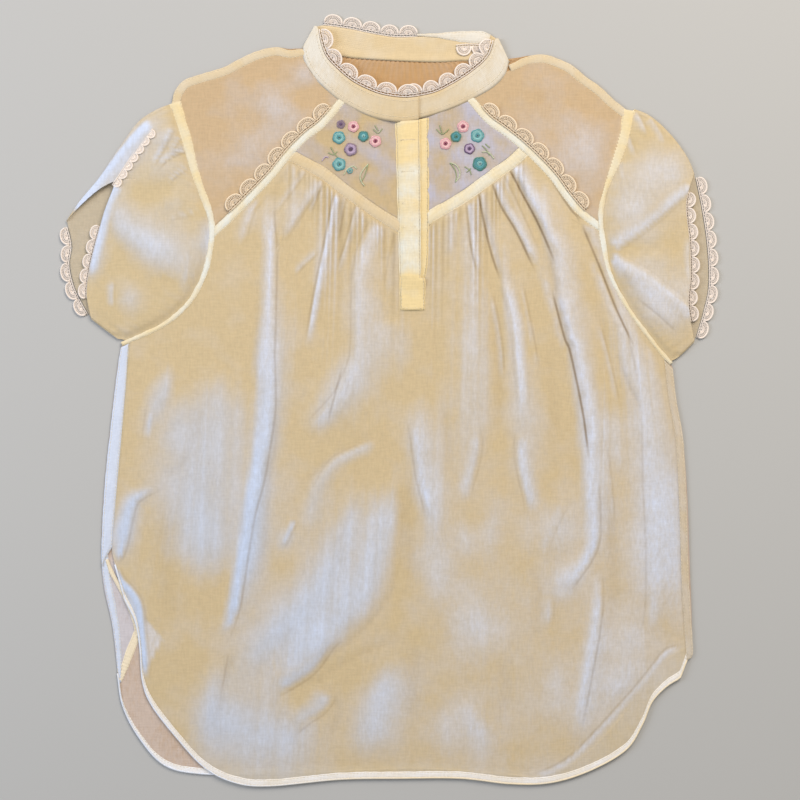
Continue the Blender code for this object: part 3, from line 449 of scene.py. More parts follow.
def wovenCotton(name, low, high, alpha, slub=0.07, drift=0.14):
    # Cotton muslin, plain woven from uneven yarn: matt, a little fuzzy, with thicker yarns showing
    # as fine streaks both ways. Low is where it lies on the cloth below, high where it is lifted: a
    # lifted layer shows less of the tan cloth under it, and where lift follows the crests of folds,
    # its paler, cooler colour is also a painted highlight.
    # Real threads are about 0.45 mm apart; they are drawn at pitch so that they show at all.
    pitch = weave["pitch"]
    material = bpy.data.materials.new(name)
    material.use_nodes = True
    tree = material.node_tree
    shader = tree.nodes["Principled BSDF"]
    shader.inputs["Roughness"].default_value = weave["rough"]
    shader.inputs["IOR"].default_value = 1.5
    shader.inputs["Specular IOR Level"].default_value = 0.2
    shader.inputs["Sheen Weight"].default_value = weave["sheen"]
    shader.inputs["Sheen Roughness"].default_value = 0.5
    shader.inputs["Alpha"].default_value = alpha
    where = addNode(tree, "ShaderNodeUVMap", dict(uv_map="thread"))
    lifted = addNode(tree, "ShaderNodeAttribute", dict(attribute_name="lift"))
    yarn = []
    for stretch in ((0.9 / pitch, 0.11, 1.0), (0.12, 0.9 / pitch, 1.0)):
        way = addNode(tree, "ShaderNodeMapping", None, dict(Scale=stretch), dict(Vector=where.outputs[0]))
        yarn.append(addNode(tree, "ShaderNodeTexNoise", None, dict(Scale=1.0, Detail=2.0),
                            dict(Vector=way.outputs[0])))
    yarns = addNode(tree, "ShaderNodeMath", dict(operation="ADD"), None,
                    {0: yarn[0].outputs[0], 1: yarn[1].outputs[0]})
    cloud = addNode(tree, "ShaderNodeTexNoise", None, dict(Scale=0.03, Detail=3.0),
                    dict(Vector=where.outputs[0]))
    wander = addNode(tree, "ShaderNodeMapRange", None,
                     {"From Min": 0.3, "From Max": 0.7, "To Min": -drift, "To Max": drift},
                     dict(Value=cloud.outputs[0]))
    grain = addNode(tree, "ShaderNodeMapping", None, dict(Scale=(0.36, 0.13, 1.0)),
                    dict(Vector=where.outputs[0]))
    mottle = addNode(tree, "ShaderNodeTexNoise", None, dict(Scale=1.0, Detail=5.0, Roughness=0.62),
                     dict(Vector=grain.outputs[0]))
    thinner = addNode(tree, "ShaderNodeMapRange", None,
                      {"From Min": 0.3, "From Max": 0.7, "To Min": 0.74, "To Max": 1.15},
                      dict(Value=mottle.outputs[0]))
    factor = addNode(tree, "ShaderNodeMath", dict(operation="MULTIPLY_ADD", use_clamp=True), None,
                     {0: lifted.outputs["Fac"], 1: thinner.outputs[0], 2: wander.outputs[0]})
    colour = addNode(tree, "ShaderNodeMix", dict(data_type="RGBA"), None, {0: factor.outputs[0]})
    colour.inputs[6].default_value = linearColour(low)
    colour.inputs[7].default_value = linearColour(high)
    # cool is painted cool light from the window on the left, on the front and the sleeves; the inside of a
    # sleeve gets a little of it with its painted shade, and on the back it tints the double cloth above the
    # vent
    cool = addNode(tree, "ShaderNodeAttribute", dict(attribute_name="cool"))
    tinted = addNode(tree, "ShaderNodeMix", dict(data_type="RGBA"), None,
                     {0: cool.outputs["Fac"], 6: colour.outputs[2]})
    tinted.inputs[7].default_value = linearColour(weave["coolLight"])
    # painted shade: the creases, the valleys between the gathers and the inside of the sleeves are darkened
    # towards a brown shade colour, and so are the pleats' furrows below
    paintedShade = addNode(tree, "ShaderNodeAttribute", dict(attribute_name="paintedShade"))
    darker = paintedShade.outputs["Fac"]
    # each pleat's furrow is painted shade: a dark line drawn from the signed distance to it
    for pair in "AB":
        gap = addNode(tree, "ShaderNodeAttribute", dict(attribute_name="gap" + pair))
        strong = addNode(tree, "ShaderNodeAttribute", dict(attribute_name="line" + pair))
        beside = addNode(tree, "ShaderNodeMath", dict(operation="ABSOLUTE"), None, {0: gap.outputs["Fac"]})
        furrow = addNode(tree, "ShaderNodeMapRange", dict(interpolation_type="SMOOTHSTEP"),
                         {"From Min": 0.1, "From Max": weave["furrowHalf"],
                          "To Min": weave["furrowShade"], "To Max": 0.0},
                         dict(Value=beside.outputs[0]))
        darker = addNode(tree, "ShaderNodeMath", dict(operation="MULTIPLY_ADD", use_clamp=True), None,
                         {0: furrow.outputs[0], 1: strong.outputs["Fac"], 2: darker}).outputs[0]
    pressed = addNode(tree, "ShaderNodeMix", dict(data_type="RGBA"), None,
                      {0: darker, 6: tinted.outputs[2]})
    pressed.inputs[7].default_value = linearColour(weave["shadeColour"])
    density = addNode(tree, "ShaderNodeMapRange", None,
                      {"From Min": 0.7, "From Max": 1.3, "To Min": 1 - slub, "To Max": 1 + slub * 0.7},
                      dict(Value=yarns.outputs[0]))
    shaded = addNode(tree, "ShaderNodeVectorMath", dict(operation="SCALE"), None,
                     {0: pressed.outputs[2], "Scale": density.outputs[0]})
    tree.links.new(shaded.outputs[0], shader.inputs["Base Color"])
    threads = [addNode(tree, "ShaderNodeTexWave", dict(bands_direction=axis),
                       dict(Scale=0.314 / pitch, Distortion=0.6), dict(Vector=where.outputs[0]))
               for axis in "XY"]
    crossed = addNode(tree, "ShaderNodeMath", dict(operation="ADD"), None,
                      {0: threads[0].outputs["Fac"], 1: threads[1].outputs["Fac"]})
    relief = addNode(tree, "ShaderNodeMath", dict(operation="ADD"), None,
                     {0: crossed.outputs[0], 1: yarns.outputs[0]})
    bumps = addNode(tree, "ShaderNodeBump", None, dict(Strength=weave["bump"], Distance=0.00025),
                    dict(Height=relief.outputs[0]))
    tree.links.new(bumps.outputs[0], shader.inputs["Normal"])
    # a fold is several layers, so it hides more of what lies below
    opacity = addNode(tree, "ShaderNodeMapRange", None,
                      {"From Min": 0.3, "From Max": 1.0, "To Min": alpha, "To Max": min(alpha + 0.22, 1.0)},
                      dict(Value=factor.outputs[0]))
    tree.links.new(opacity.outputs[0], shader.inputs["Alpha"])
    return material


def cottonThread(name, hexText, rough=0.75, sheen=0.3):
    # Spun and twisted cotton thread: softly shining, with its twist as a fine ripple
    material = bpy.data.materials.new(name)
    material.use_nodes = True
    tree = material.node_tree
    shader = tree.nodes["Principled BSDF"]
    shader.inputs["Roughness"].default_value = rough
    shader.inputs["Sheen Weight"].default_value = sheen
    place = addNode(tree, "ShaderNodeTexCoord")
    fibre = addNode(tree, "ShaderNodeTexNoise", None, dict(Scale=1400.0, Detail=2.0),
                    dict(Vector=place.outputs["Object"]))
    tone = addNode(tree, "ShaderNodeMix", dict(data_type="RGBA"), None, {0: fibre.outputs[0]})
    base = linearColour(hexText)
    tone.inputs[6].default_value = [v * 0.78 for v in base[:3]] + [1.0]
    tone.inputs[7].default_value = [min(v * 1.18, 1.0) for v in base[:3]] + [1.0]
    tree.links.new(tone.outputs[2], shader.inputs["Base Color"])
    bumps = addNode(tree, "ShaderNodeBump", None, dict(Strength=0.4, Distance=0.0001),
                    dict(Height=fibre.outputs[0]))
    tree.links.new(bumps.outputs[0], shader.inputs["Normal"])
    return material


muslin = wovenCotton("Cotton muslin, plain woven, laid over another layer", "DFCBA2", "DDE0EC", 0.58)
muslinSheer = wovenCotton("Cotton muslin, single layer over the yoke", "D6C096", "BFBCC8", 0.58, drift=0.45)
muslinShoulder = wovenCotton("Cotton muslin, shoulder yoke", "D8BE98", "D2D1D8", 0.6, drift=0.22)
muslinBack = wovenCotton("Cotton muslin, back seen from inside", "C7A070", "C4B2A4", 0.75)
muslinDouble = wovenCotton("Cotton muslin, folded double and pressed", "EAD4A0", "D9D9CF", 0.88, slub=0.06,
                           drift=0.42)
muslinStand = wovenCotton("Cotton muslin, collar band folded double", "D4BF98", "D6D1C6", 0.92, slub=0.05,
                          drift=0.3)
# its bluish colour is painted cool light from the window on the left, where these strips lie
muslinEdge = wovenCotton("Cotton muslin, seam allowance turned under", "C6CEDF", "D3DBEA", 0.9, slub=0.05)
muslinHem = wovenCotton("Cotton muslin, hem turned under", "F0E2C6", "ECEFF8", 0.86)
muslinRolled = wovenCotton("Cotton muslin, edge rolled and sewn", "E8D9BC", "D6DCE8", 0.95, slub=0.05)
laceThread = cottonThread("Cotton lace, bobbin thread", "E6DACF")
laceUnder = cottonThread("Cotton lace, bobbin thread under the muslin", "E3D0B4")
print("materials made")


# Seam edges, as in the solids

def seamEdgePaths():
    # both sides of each band that crosses the body: its seam line moved half a width aside
    halves = {name: width / 2 + layers["clear"] for name, width in seamWidths.items()}
    edges = {}
    for side, turn in (("Left", 1), ("Right", -1)):
        raglan, yoke, arm = (seamLines[part + side] for part in ("raglan", "yoke", "arm"))
        edges["raglanIn" + side] = stepAside(raglan, turn * halves["raglan"], runOn)
        edges["raglanOut" + side] = stepAside(raglan, -turn * halves["raglan"], runOn)
        edges["yokeUp" + side] = stepAside(yoke, halves["yoke"], runOn + 2)
        edges["yokeDown" + side] = stepAside(yoke, -halves["yoke"], runOn + 2)
        edges["armIn" + side] = stepAside(arm, turn * layers["armTuck"], runOn + 2)
        edges["bandEnd" + side] = stepAside(arm, turn * layers["bandEnd"], runOn + 2)
        edges["shoulder" + side] = stepAside(seamLines["shoulder" + side],
                                             turn * (seamWidths["shoulder"] + layers["shoulderClear"]), runOn)
        edges["side" + side] = stepAside(seamLines["frontSide" + side],
                                         turn * (seamWidths["side"] + layers["clear"]), runOn)[:-1]
    edges["neckLeft"] = stepAside([row[:2] for row in collarLeft], layers["clear"])
    edges["neckRight"] = stepAside([row[:2] for row in collarRight], layers["clear"])
    return edges


edges = seamEdgePaths()


# Folded edges at the vent and the collar, columns x, y, width

folded = dict(
    curl=((-259, -148, 2.6), (-254, -161, 4.0), (-246.5, -174, 4.6), (-239.5, -188, 4.6),
          (-233.5, -204, 4.6), (-229.5, -219, 4.6)),
    ventBand=((-227, -207, 6.5), (-231.5, -218, 7.6), (-237, -231, 7.6), (-242, -245, 6.5),
              (-247, -260, 4.0)),
    ventEdge=((-260.4, -118, 3.0), (-261.3, -134, 5.6), (-260.6, -150, 6.4), (-258.4, -168, 6.6),
              (-254.6, -188, 6.6), (-250.8, -208, 6.2), (-248.4, -230, 5.2), (-247.4, -248, 4.2),
              (-246.6, -261, 2.4)),
    flap=((-233, -188), (-206, -221), (-227, -261)),
    collarTop=((26, 335.0), (45, 336.0), (65, 337.6), (85, 337.8), (94, 334.5)),
    collarLow=((26, 333.6), (45, 331.6), (65, 328.2), (80, 326.6), (92, 326.4)))


# Back, one flat sheet under everything

back = dict(rows=150, thick=0.5, creaseHeight=0.45, neckPitch=4.4, neckHeight=0.75, neckReach=34.0)


def makeBack():
    # rows run from the left outline to the right one at the same share of the garment's height;
    # the cloth lies flat and only its creases and the neck gathers stand up
    outlineLeft = np.vstack((resample(curveThrough(seamLines["shoulderLeft"]), 40),
                             stretchOf(curveThrough(seamLines["armLeft"]), (-196, 272), (-245, 50), 60),
                             resample(curveThrough(seamLines["backSideLeft"]), 60)))
    outlineRight = np.vstack((resample(curveThrough(seamLines["shoulderRight"]), 40),
                              resample(curveThrough(seamLines["armRight"]), 60),
                              resample(curveThrough(seamLines["backSideRight"]), 60)))
    rows = back["rows"]
    neck = resample(stepAside(seamLines["backNeck"], -0.5), rows)
    hem = resample(curveThrough(seamLines["backHem"]), rows)
    left, right = resample(outlineLeft, rows), resample(outlineRight, rows)
    left[0], right[0] = neck[0], neck[-1]
    left[-1], right[-1] = hem[0], hem[-1]
    plan = fillPatch(neck, hem, left, right, hold=3)
    below = np.linalg.norm(plan - plan[0][None], axis=2)
    along = measure(plan[0])
    gathers = (0.5 + 0.5 * np.cos(along * 2 * math.pi / back["neckPitch"] + 1.1 * np.sin(along / 13)))
    rise = back["neckHeight"] * gathers[None] * np.exp(-(below / back["neckReach"]) ** 2)
    wander = np.sin(plan[..., 0] / 23 + 1.3 * np.sin(plan[..., 1] / 61)) * np.sin(plan[..., 1] / 47 + 0.8)
    rise = rise + back["creaseHeight"] * np.maximum(wander, 0) ** 2
    # above the vent's folded band the back is double and paler
    start, end = (np.array(row[:2], float) for row in (folded["ventBand"][0], folded["ventBand"][-1]))
    way = (end - start) / np.linalg.norm(end - start)
    outside = (plan[..., 0] - start[0]) * way[1] - (plan[..., 1] - start[1]) * way[0]
    double = ease((outside + 1) / 3) * ease((-140 - plan[..., 1]) / 20) * ease((-200 - plan[..., 0]) / 10)
    # lift is low near the neck, a painted shade where the collar shadows the back inside the neck opening,
    # and the neck gathers' crests get a painted highlight
    return clothGrid("backCloth", plan, layers["back"] + rise, muslinBack, ["back_panel"], "underside",
                     lift=ease((285 - plan[..., 1]) / 60) + 0.2 * rise / back["neckHeight"],
                     wall=back["thick"], marks=dict(cool=0.3 * double))


backCloth = makeBack()
print("back made")


# Front panel, gathered into both yoke seams

front = dict(
    thick=0.45, rows=150, columns=(38, 14, 110, 10, 108, 14, 38),
    joints=(0.0, 0.285, 0.36, 0.525, 0.565, 0.725, 0.785, 1.0), lean=1.5, hold=5,
    gatherHeight=1.5, gatherPitch=6.4, gatherReach=58.0, foldScale=0.42, laceRise=1.3, laceRiseReach=17.0,
    placketMiddle=22.0, placketReach=20.0, placketEnd=81.0,
    # crest points with half widths, power of its left and right flank, height, light, fades
    swells=(
        # long ridge of the left half
        (((-111, 178, 4.5), (-109, 137, 6.5), (-109, 91, 9), (-111, 45, 11), (-111, 8, 9), (-115, -29, 6.5),
         (-121, -66, 5.5), (-126, -103, 7.5), (-130, -149, 8.5), (-137, -185, 8.5), (-146, -222, 7.5),
         (-153, -245, 4.5)), 4, 2, 8.0, 0.95, 0.16, 0.14),
        # its tail to the hem
        (((-153, -231, 5.5), (-161, -268, 5.5), (-162, -305, 6.5), (-162, -334, 5.5)), 2, 2, 4.5, 0.35, 0.3,
         0.2),
        # broad swell beside it
        (((-137, 35, 5.5), (-153, -1, 22), (-166, -38, 33), (-172, -75, 35), (-169, -112, 29.5), (-162,
         -149, 20), (-157, -184, 7.5)), 3, 2, 3.2, 0.56, 0.1, 0.1),
        (((-199, 43, 3.5), (-206, 12, 5.5), (-215, -12, 5.5), (-222, -40, 3.5)), 2, 3, 3.4, 0.6, 0.2, 0.25),
        (((-210, -77, 3.5), (-227, -88, 3.5), (-237, -99, 4.5), (-249, -145, 7.5), (-253, -165, 7.5)), 2, 2,
         4.0, 0.75, 0.15, 0.2),
        (((-251, -158, 7.5), (-242, -178, 4.5), (-232, -201, 4.5), (-226, -233, 3.5)), 2, 2, 3.0, 0.7, 0.2,
         0.3),
        (((-116, 186, 3.5), (-126, 168, 5.5), (-133, 150, 4.5), (-138, 137, 3.5)), 2, 2, 2.2, 0.45, 0.3,
         0.4),
        (((-59, 205, 3.5), (-80, 183, 5.5), (-93, 161, 6.5), (-104, 135, 3.5)), 2, 3, 3.4, 0.5, 0.2, 0.4),
        (((-51, 186, 3.5), (-57, 146, 5.5), (-63, 109, 5.5), (-71, 63, 3.5)), 2, 3, 3.8, 0.5, 0.15, 0.4),
        # lens below the left yoke
        (((-16, 157, 3.5), (-23, 127, 7.5), (-24, 100, 10), (-19, 74, 14.5), (-16, 54, 15.5), (-29, 26, 14),
         (-46, 2, 12), (-66, -20, 9), (-84, -38, 4.5)), 3, 2, 5.0, 0.68, 0.08, 0.1),
        (((5, 150, 3.5), (8, 120, 5.5), (0, 91, 4.5)), 2, 2, 1.6, 0.35, 0.3, 0.4),
        (((22, 74, 4.5), (14, 49, 5.5), (7, 24, 4.5)), 2, 2, 1.4, 0.2, 0.3, 0.4),
        # centre lens
        (((29, 17, 4.5), (27, -20, 9), (33, -57, 11), (41, -114, 7.5), (36, -149, 9), (33, -182, 7.5)), 3,
         2, 4.2, 0.68, 0.12, 0.2),
        (((55, -107, 3.5), (51, -135, 7.5), (47, -172, 11), (55, -204, 11)), 2, 2, 1.8, 0.4, 0.3, 0.3),
        # first ridge of the right half
        (((64, 186, 5.5), (71, 146, 5.5), (77, 109, 8.5), (79, 63, 11), (79, 17, 12), (77, -20, 11), (74,
         -57, 8.5), (72, -98, 4.5)), 2, 3, 5.4, 0.62, 0.08, 0.15),
        (((94, 178, 3.5), (103, 137, 3.5), (110, 91, 4.5), (117, 45, 5.5), (123, -1, 10), (125, -38, 11),
         (125, -75, 8.5), (129, -116, 3.5)), 3, 2, 4.4, 0.6, 0.1, 0.15),
        (((111, 183, 3.5), (130, 146, 3.5), (144, 109, 3.5), (153, 72, 3.5), (160, 35, 3.5), (168, -3, 3)),
         2, 2, 2.4, 0.42, 0.15, 0.2),
        # long ridge of the right half
        (((120, 212, 4.5), (135, 187, 7.5), (149, 155, 8.5), (159, 123, 10), (164, 91, 9), (172, 45, 7.5),
         (179, -1, 8.5), (185, -47, 9), (189, -93, 9), (189, -130, 8.5), (186, -172, 5.5)), 4, 2, 8.8, 0.8,
         0.06, 0.1),
        # its branch
        (((185, -135, 6.5), (172, -158, 7.5), (158, -176, 9), (147, -196, 4.5)), 2, 3, 3.6, 0.6, 0.3, 0.25),
        # its tail to the hem
        (((191, -167, 5.5), (194, -204, 5.5), (188, -245, 6.5), (181, -282, 7.5), (171, -328, 5.5)), 3, 2,
         5.2, 0.55, 0.15, 0.15),
        # broad fold by the right side
        (((200, 120, 3.5), (214, 77, 8.5), (226, 35, 11), (236, -6, 12), (243, -47, 14), (249, -93, 17.5),
         (253, -149, 22), (253, -195, 23), (252, -231, 16.5)), 3, 2, 6.0, 0.8, 0.08, 0.12),
        (((245, -222, 11), (231, -241, 11), (196, -283, 6.5), (185, -298, 4.5)), 2, 2, 2.6, 0.5, 0.2, 0.25),
        (((205, 10, 5.5), (202, -20, 8.5), (209, -49, 5.5), (226, -80, 3.5)), 2, 2, 2.2, 0.5, 0.25, 0.3),
        # low diagonal of the left half
        (((8, -58, 4.5), (-1, -93, 11), (-9, -130, 14), (-23, -167, 19.5), (-44, -195, 20), (-71, -222,
         18.5), (-95, -248, 14.5), (-120, -279, 8.5)), 2, 4, 5.0, 0.72, 0.1, 0.12),
        (((-15, -62, 4.5), (-28, -93, 6.5), (-40, -126, 8.5), (-55, -160, 10), (-73, -187, 10), (-109, -220,
         10), (-144, -252, 11), (-166, -277, 11)), 2, 3, 3.4, 0.55, 0.12, 0.15),
        # bottom left swell
        (((-199, -276, 9), (-177, -283, 18.5), (-150, -298, 24), (-120, -309, 25), (-92, -312, 22), (-65,
         -298, 13), (-50, -277, 5.5)), 2, 2, 2.6, 0.56, 0.15, 0.15),
        (((10, -227, 6.5), (0, -266, 12), (-15, -303, 13), (-32, -340, 8.5)), 3, 2, 3.4, 0.68, 0.15, 0.15),
        (((60, -263, 3.5), (73, -292, 7.5), (88, -316, 8.5), (97, -344, 6.5)), 2, 3, 2.8, 0.5, 0.2, 0.2),
        (((34, -215, 9), (58, -206, 13), (88, -211, 16.5), (119, -222, 11)), 2, 2, 1.4, 0.45, 0.25, 0.25),
        (((180, -79, 6.5), (163, -108, 13), (151, -138, 10), (140, -165, 4.5)), 2, 3, 2.6, 0.45, 0.2, 0.25),
        (((-81, -114, 3.5), (-93, -128, 4.5), (-103, -145, 3.5)), 2, 2, 1.6, 0.4, 0.35, 0.35),
        (((-13, -38, 3.5), (-37, -49, 4.5), (-56, -66, 5.5), (-67, -93, 6.5), (-70, -126, 9), (-65, -154,
         9)), 3, 2, 2.2, 0.42, 0.2, 0.25),
        (((93, -69, 3), (97, -99, 4.5), (93, -135, 4.5), (99, -165, 3.5)), 2, 2, 1.5, 0.38, 0.3, 0.3),
        (((62, -101, 3), (71, -130, 4.5), (75, -160, 3.5)), 2, 2, 1.4, 0.38, 0.3, 0.3),
        (((231, -185, 6.5), (224, -222, 8.5), (211, -255, 6.5)), 2, 2, 1.4, 0.35, 0.3, 0.3),
        (((147, -222, 5.5), (154, -268, 7.5), (147, -310, 6.5)), 2, 2, 1.2, 0.3, 0.3, 0.3),
        (((-184, 10, 7.5), (-196, -27, 8.5), (-203, -58, 6.5)), 2, 2, 1.2, 0.3, 0.3, 0.3),
        (((47, -277, 5.5), (53, -310, 7.5), (58, -337, 5.5)), 2, 2, 1.0, 0.3, 0.3, 0.3)),
    # pleats: crest points, width, dark side, light, depth, share that each end fades over
    pleats=(
        # fans from the right yoke seam
        (((74, 180), (77, 148), (80, 131), (84, 114)), 2, -1, 0.8, 0.6, 0.05, 0.2),
        (((85, 191), (90, 165), (97, 135), (106, 108)), 2.2, -1, 0.5, 1, 0.05, 0.2),
        (((105, 108), (111, 91), (116, 68), (121, 17), (125, -38)), 3.6, -1, 0.9, 0.15, 0.1, 0.35),
        (((98, 200), (106, 179), (121, 154), (139, 116)), 2.6, -1, 0.8, 1, 0.05, 0.25),
        (((115, 215), (127, 192), (143, 162), (160, 122)), 4.2, -1, 0.9, 1.2, 0.05, 0.25),
        (((155, 104), (167, 58), (172, 46), (184, -12), (190, -58)), 4.4, -1, 0.9, 1.1, 0.12, 0.15),
        (((136, 126), (141, 114), (147, 98), (165, 31)), 1.8, 1, 0.5, 0, 0.2, 0.3),
        (((182, 161), (198, 123), (214, 82), (232, 45)), 3.4, -1, 0.5, 0.9, 0.05, 0.2),
        (((180, 141), (189, 123), (211, 70), (217, 54), (230, -6)), 2.8, 1, 0.5, 0.3, 0.2, 0.3),
        (((144, 206), (166, 172), (174, 166), (183, 163)), 1.8, 1, 0, 0.9, 0.05, 0.2),
        (((192, 74), (203, 31), (208, 8), (213, -15)), 1.5, 1, 0.35, 0.25, 0.2, 0.3),
        (((121, 109), (127, 81), (133, 49), (139, 17)), 1.5, 1, 0.35, 0.3, 0.2, 0.3),
        (((93, 100), (99, 72), (103, 45), (105, 12)), 1.7, 1, 0.4, 0.35, 0.2, 0.3),
        (((199, -38), (202, -66), (205, -93), (206, -121)), 1.5, 1, 0.4, 0.2, 0.2, 0.3),
        (((58, 175), (59, 160), (58, 141), (58, 126)), 3, 1, 0.5, 0.1, 0.05, 0.4),
        (((104, 205), (116, 181), (131, 148), (138, 131)), 1.5, 1, 0.3, 0.3, 0.05, 0.3),
        # fans from the left yoke seam
        (((-109, 198), (-109, 160), (-107, 137), (-108, 72), (-109, 40), (-108, -6), (-113, -43), (-119,
         -77), (-128, -112), (-138, -176), (-142, -196), (-148, -213), (-156, -230)), 3.6, 1, 1, 0.45, 0.12,
         0.12),
        (((-116, 184), (-125, 175), (-129, 164), (-135, 141)), 2.6, 1, 0.6, 0.2, 0.2, 0.3),
        (((-61, 199), (-73, 184), (-82, 171), (-99, 144)), 3.2, 1, 0.6, 0.2, 0.05, 0.3),
        (((-48, 189), (-55, 152), (-66, 98), (-73, 58), (-77, 45)), 2, -1, 0.95, 0.5, 0.05, 0.25),
        (((-28, 180), (-37, 146), (-43, 127), (-47, 111)), 1.6, -1, 0.5, 0.4, 0.05, 0.35),
        (((-61, 201), (-63, 196), (-68, 182), (-73, 168)), 1.5, 1, 0.5, 0.3, 0.05, 0.4),
        (((-40, 186), (-43, 172), (-46, 155), (-50, 137)), 1.5, 1, 0.3, 0.35, 0.05, 0.4),
        (((-76, 210), (-89, 192), (-99, 179), (-106, 168)), 1.8, 1, 0.35, 0.15, 0.05, 0.3),
        (((-9, 164), (-21, 139), (-24, 126), (-27, 107), (-28, 49), (-31, 31), (-39, 12), (-48, -3), (-76,
         -33)), 5.5, -1, 0.65, 0.25, 0.05, 0.12),
        (((10, 152), (4, 126), (1, 107), (1, 91)), 3.4, -1, 0.6, 0.2, 0.05, 0.3),
        (((-65, 136), (-72, 129), (-80, 122), (-87, 113)), 1.7, 1, 0.5, 0.2, 0.15, 0.3),
        (((-40, 31), (-48, 0), (-52, -15), (-54, -29)), 1.5, -1, 0.3, 0.45, 0.2, 0.3),
        (((-32, 21), (-36, 10), (-40, -3)), 1.5, -1, 0.4, 0.2, 0.2, 0.3),
        # lower left
        (((-205, -70), (-213, -81), (-227, -89), (-235, -98), (-242, -128), (-246, -142), (-252, -151)),
         3.0, 1, 0.75, 0.3, 0.4, 0.12),
        (((-251, -154), (-246, -167), (-238, -175), (-230, -187), (-227, -204), (-222, -261)), 3.2, 1, 0.95,
         0.25, 0.1, 0.2),
        (((-218, 0), (-220, -15), (-222, -31), (-224, -44)), 2.6, -1, 0.65, 0.2, 0.45, 0.45),
        (((-85, -111), (-92, -125), (-99, -139)), 2.2, 1, 0.6, 0.2, 0.2, 0.3),
        (((-6, -38), (-43, -54), (-55, -65), (-64, -81), (-73, -93)), 3.6, -1, 0.45, 0.15, 0.2, 0.3),
        (((-150, -230), (-152, -244), (-155, -261), (-158, -277)), 2.4, 1, 0, 0.3, 0.2, 0.4),
        (((-42, -213), (-55, -223), (-74, -248), (-109, -270)), 6, 1, 0.6, 0.3, 0.2, 0.2),
        (((-54, -270), (-63, -283), (-79, -294), (-94, -307)), 6, 1, 0.5, 0.25, 0.15, 0.3),
        # lower right
        (((22, -15), (29, -66), (33, -84), (41, -114)), 3.8, -1, 0.8, 0.3, 0.2, 0.2),
        (((188, -70), (190, -103), (190, -128), (184, -145), (174, -160), (162, -176)), 3.6, 1, 0.7, 0.35,
         0.2, 0.12),
        (((192, -149), (193, -185), (190, -213), (180, -268), (170, -319)), 3.4, 1, 0.7, 0.4, 0.3, 0.3),
        (((147, -176), (148, -195), (144, -215)), 3.4, 1, 0.5, 0.2, 0.5, 0.5),
        (((164, -94), (154, -111), (146, -131), (140, -149)), 3, 1, 0.45, 0.15, 0.2, 0.3),
        (((122, -29), (122, -57), (130, -93), (133, -109)), 4.6, -1, 0.7, 0.2, 0.15, 0.25),
        (((78, -24), (80, -47), (71, -84), (68, -99)), 4.8, 1, 0.5, 0.2, 0.2, 0.3),
        (((239, -11), (240, -75), (243, -149), (241, -204), (230, -231)), 5, -1, 0.5, 0.25, 0.15, 0.2),
        (((273, -230), (263, -230), (253, -235), (230, -264), (180, -319), (158, -337), (130, -349)), 2, -1,
         0.45, 0.35, 0.08, 0.1)),
    # creases: crest points, width on its west, width on its east, depth, share that each end fades over
    creases=(
        (((87, 172), (93, 150), (100, 126), (105, 98)), 2.0, 2.0, -1.5, 0.2, 0.4),
        (((104, 178), (114, 157), (125, 137), (133, 114)), 2.0, 2.0, -1.8, 0.2, 0.4),
        (((118, 205), (126, 185), (137, 162), (144, 143)), 2.6, 2.0, -2.2, 0.15, 0.3),
        (((144, 150), (152, 114), (158, 81), (167, 48), (175, 10), (181, -31), (184, -66)), 2.8, 1.7, -2.6,
         0.12, 0.2),
        (((156, 199), (171, 175), (184, 151), (195, 126)), 3.1, 2.8, -2.0, 0.15, 0.3),
        (((206, 107), (215, 86), (224, 67)), 2.4, 2.0, -1.6, 0.2, 0.3),
        (((209, 43), (220, 13), (229, -5), (232, -23)), 2.4, 2.0, -1.6, 0.25, 0.3),
        (((191, 91), (198, 63), (204, 34)), 2.8, 2.8, -1.0, 0.3, 0.4),
        (((-96, 210), (-100, 196), (-107, 178)), 3.2, 3.2, -1.4, 0.2, 0.4),
        (((-116, 129), (-118, 91), (-120, 45), (-120, 2)), 2.8, 1.8, -1.2, 0.3, 0.3),
        (((-100, -5), (-105, -47), (-113, -93), (-116, -138), (-126, -184)), 1.8, 3.7, -1.5, 0.2, 0.3),
        (((-140, -231), (-148, -252), (-153, -277), (-155, -305)), 2.4, 2.4, -1.8, 0.2, 0.4),
        (((-33, 153), (-35, 126), (-35, 100)), 2.4, 2.4, -1.0, 0.2, 0.5),
        (((-43, 190), (-46, 162), (-50, 127)), 1.8, 1.8, -1.0, 0.2, 0.5),
        (((-6, -29), (-35, -44), (-65, -66), (-81, -93)), 2.2, 2.8, -1.0, 0.3, 0.3),
        (((22, -66), (18, -103), (20, -149), (22, -185)), 5.5, 5.5, -1.6, 0.3, 0.3),
        (((25, -222), (23, -259), (23, -305)), 7.4, 7.4, -1.4, 0.3, 0.3),
        (((49, 3), (55, -38), (58, -80)), 4.6, 3.7, -1.2, 0.3, 0.3),
        (((95, 91), (101, 45), (103, -1), (103, -47)), 4.6, 3.7, -1.3, 0.2, 0.3),
        (((144, 63), (150, 8), (154, -38), (150, -75)), 4.6, 4.6, -1.1, 0.3, 0.4),
        (((200, -75), (206, -130), (206, -185), (200, -231)), 5.5, 5.5, -1.6, 0.3, 0.3),
        (((-196, -93), (-205, -130), (-203, -176), (-194, -218)), 9.2, 9.2, -1.2, 0.3, 0.3),
        (((-219, -71), (-192, -66), (-177, -38), (-169, -1)), 1.8, 4.6, -0.8, 0.3, 0.3),
        (((132, -149), (139, -185), (134, -231)), 4.6, 4.6, -1.0, 0.3, 0.3),
        (((101, -236), (108, -268), (103, -303)), 5.5, 5.5, -1.0, 0.3, 0.3),
        (((-52, -268), (-46, -291), (-54, -316)), 3.7, 3.7, -1.2, 0.3, 0.3),
        (((-26, -89), (-40, -121), (-58, -149)), 2.2, 2.2, -0.9, 0.3, 0.3),
        (((9, -66), (12, -112), (9, -158), (-8, -195), (-40, -227), (-72, -248)), 2.2, 2.8, -1.0, 0.2, 0.3),
        (((20, -218), (-17, -231), (-54, -252), (-81, -268)), 2.8, 2.8, -1.0, 0.2, 0.3)))


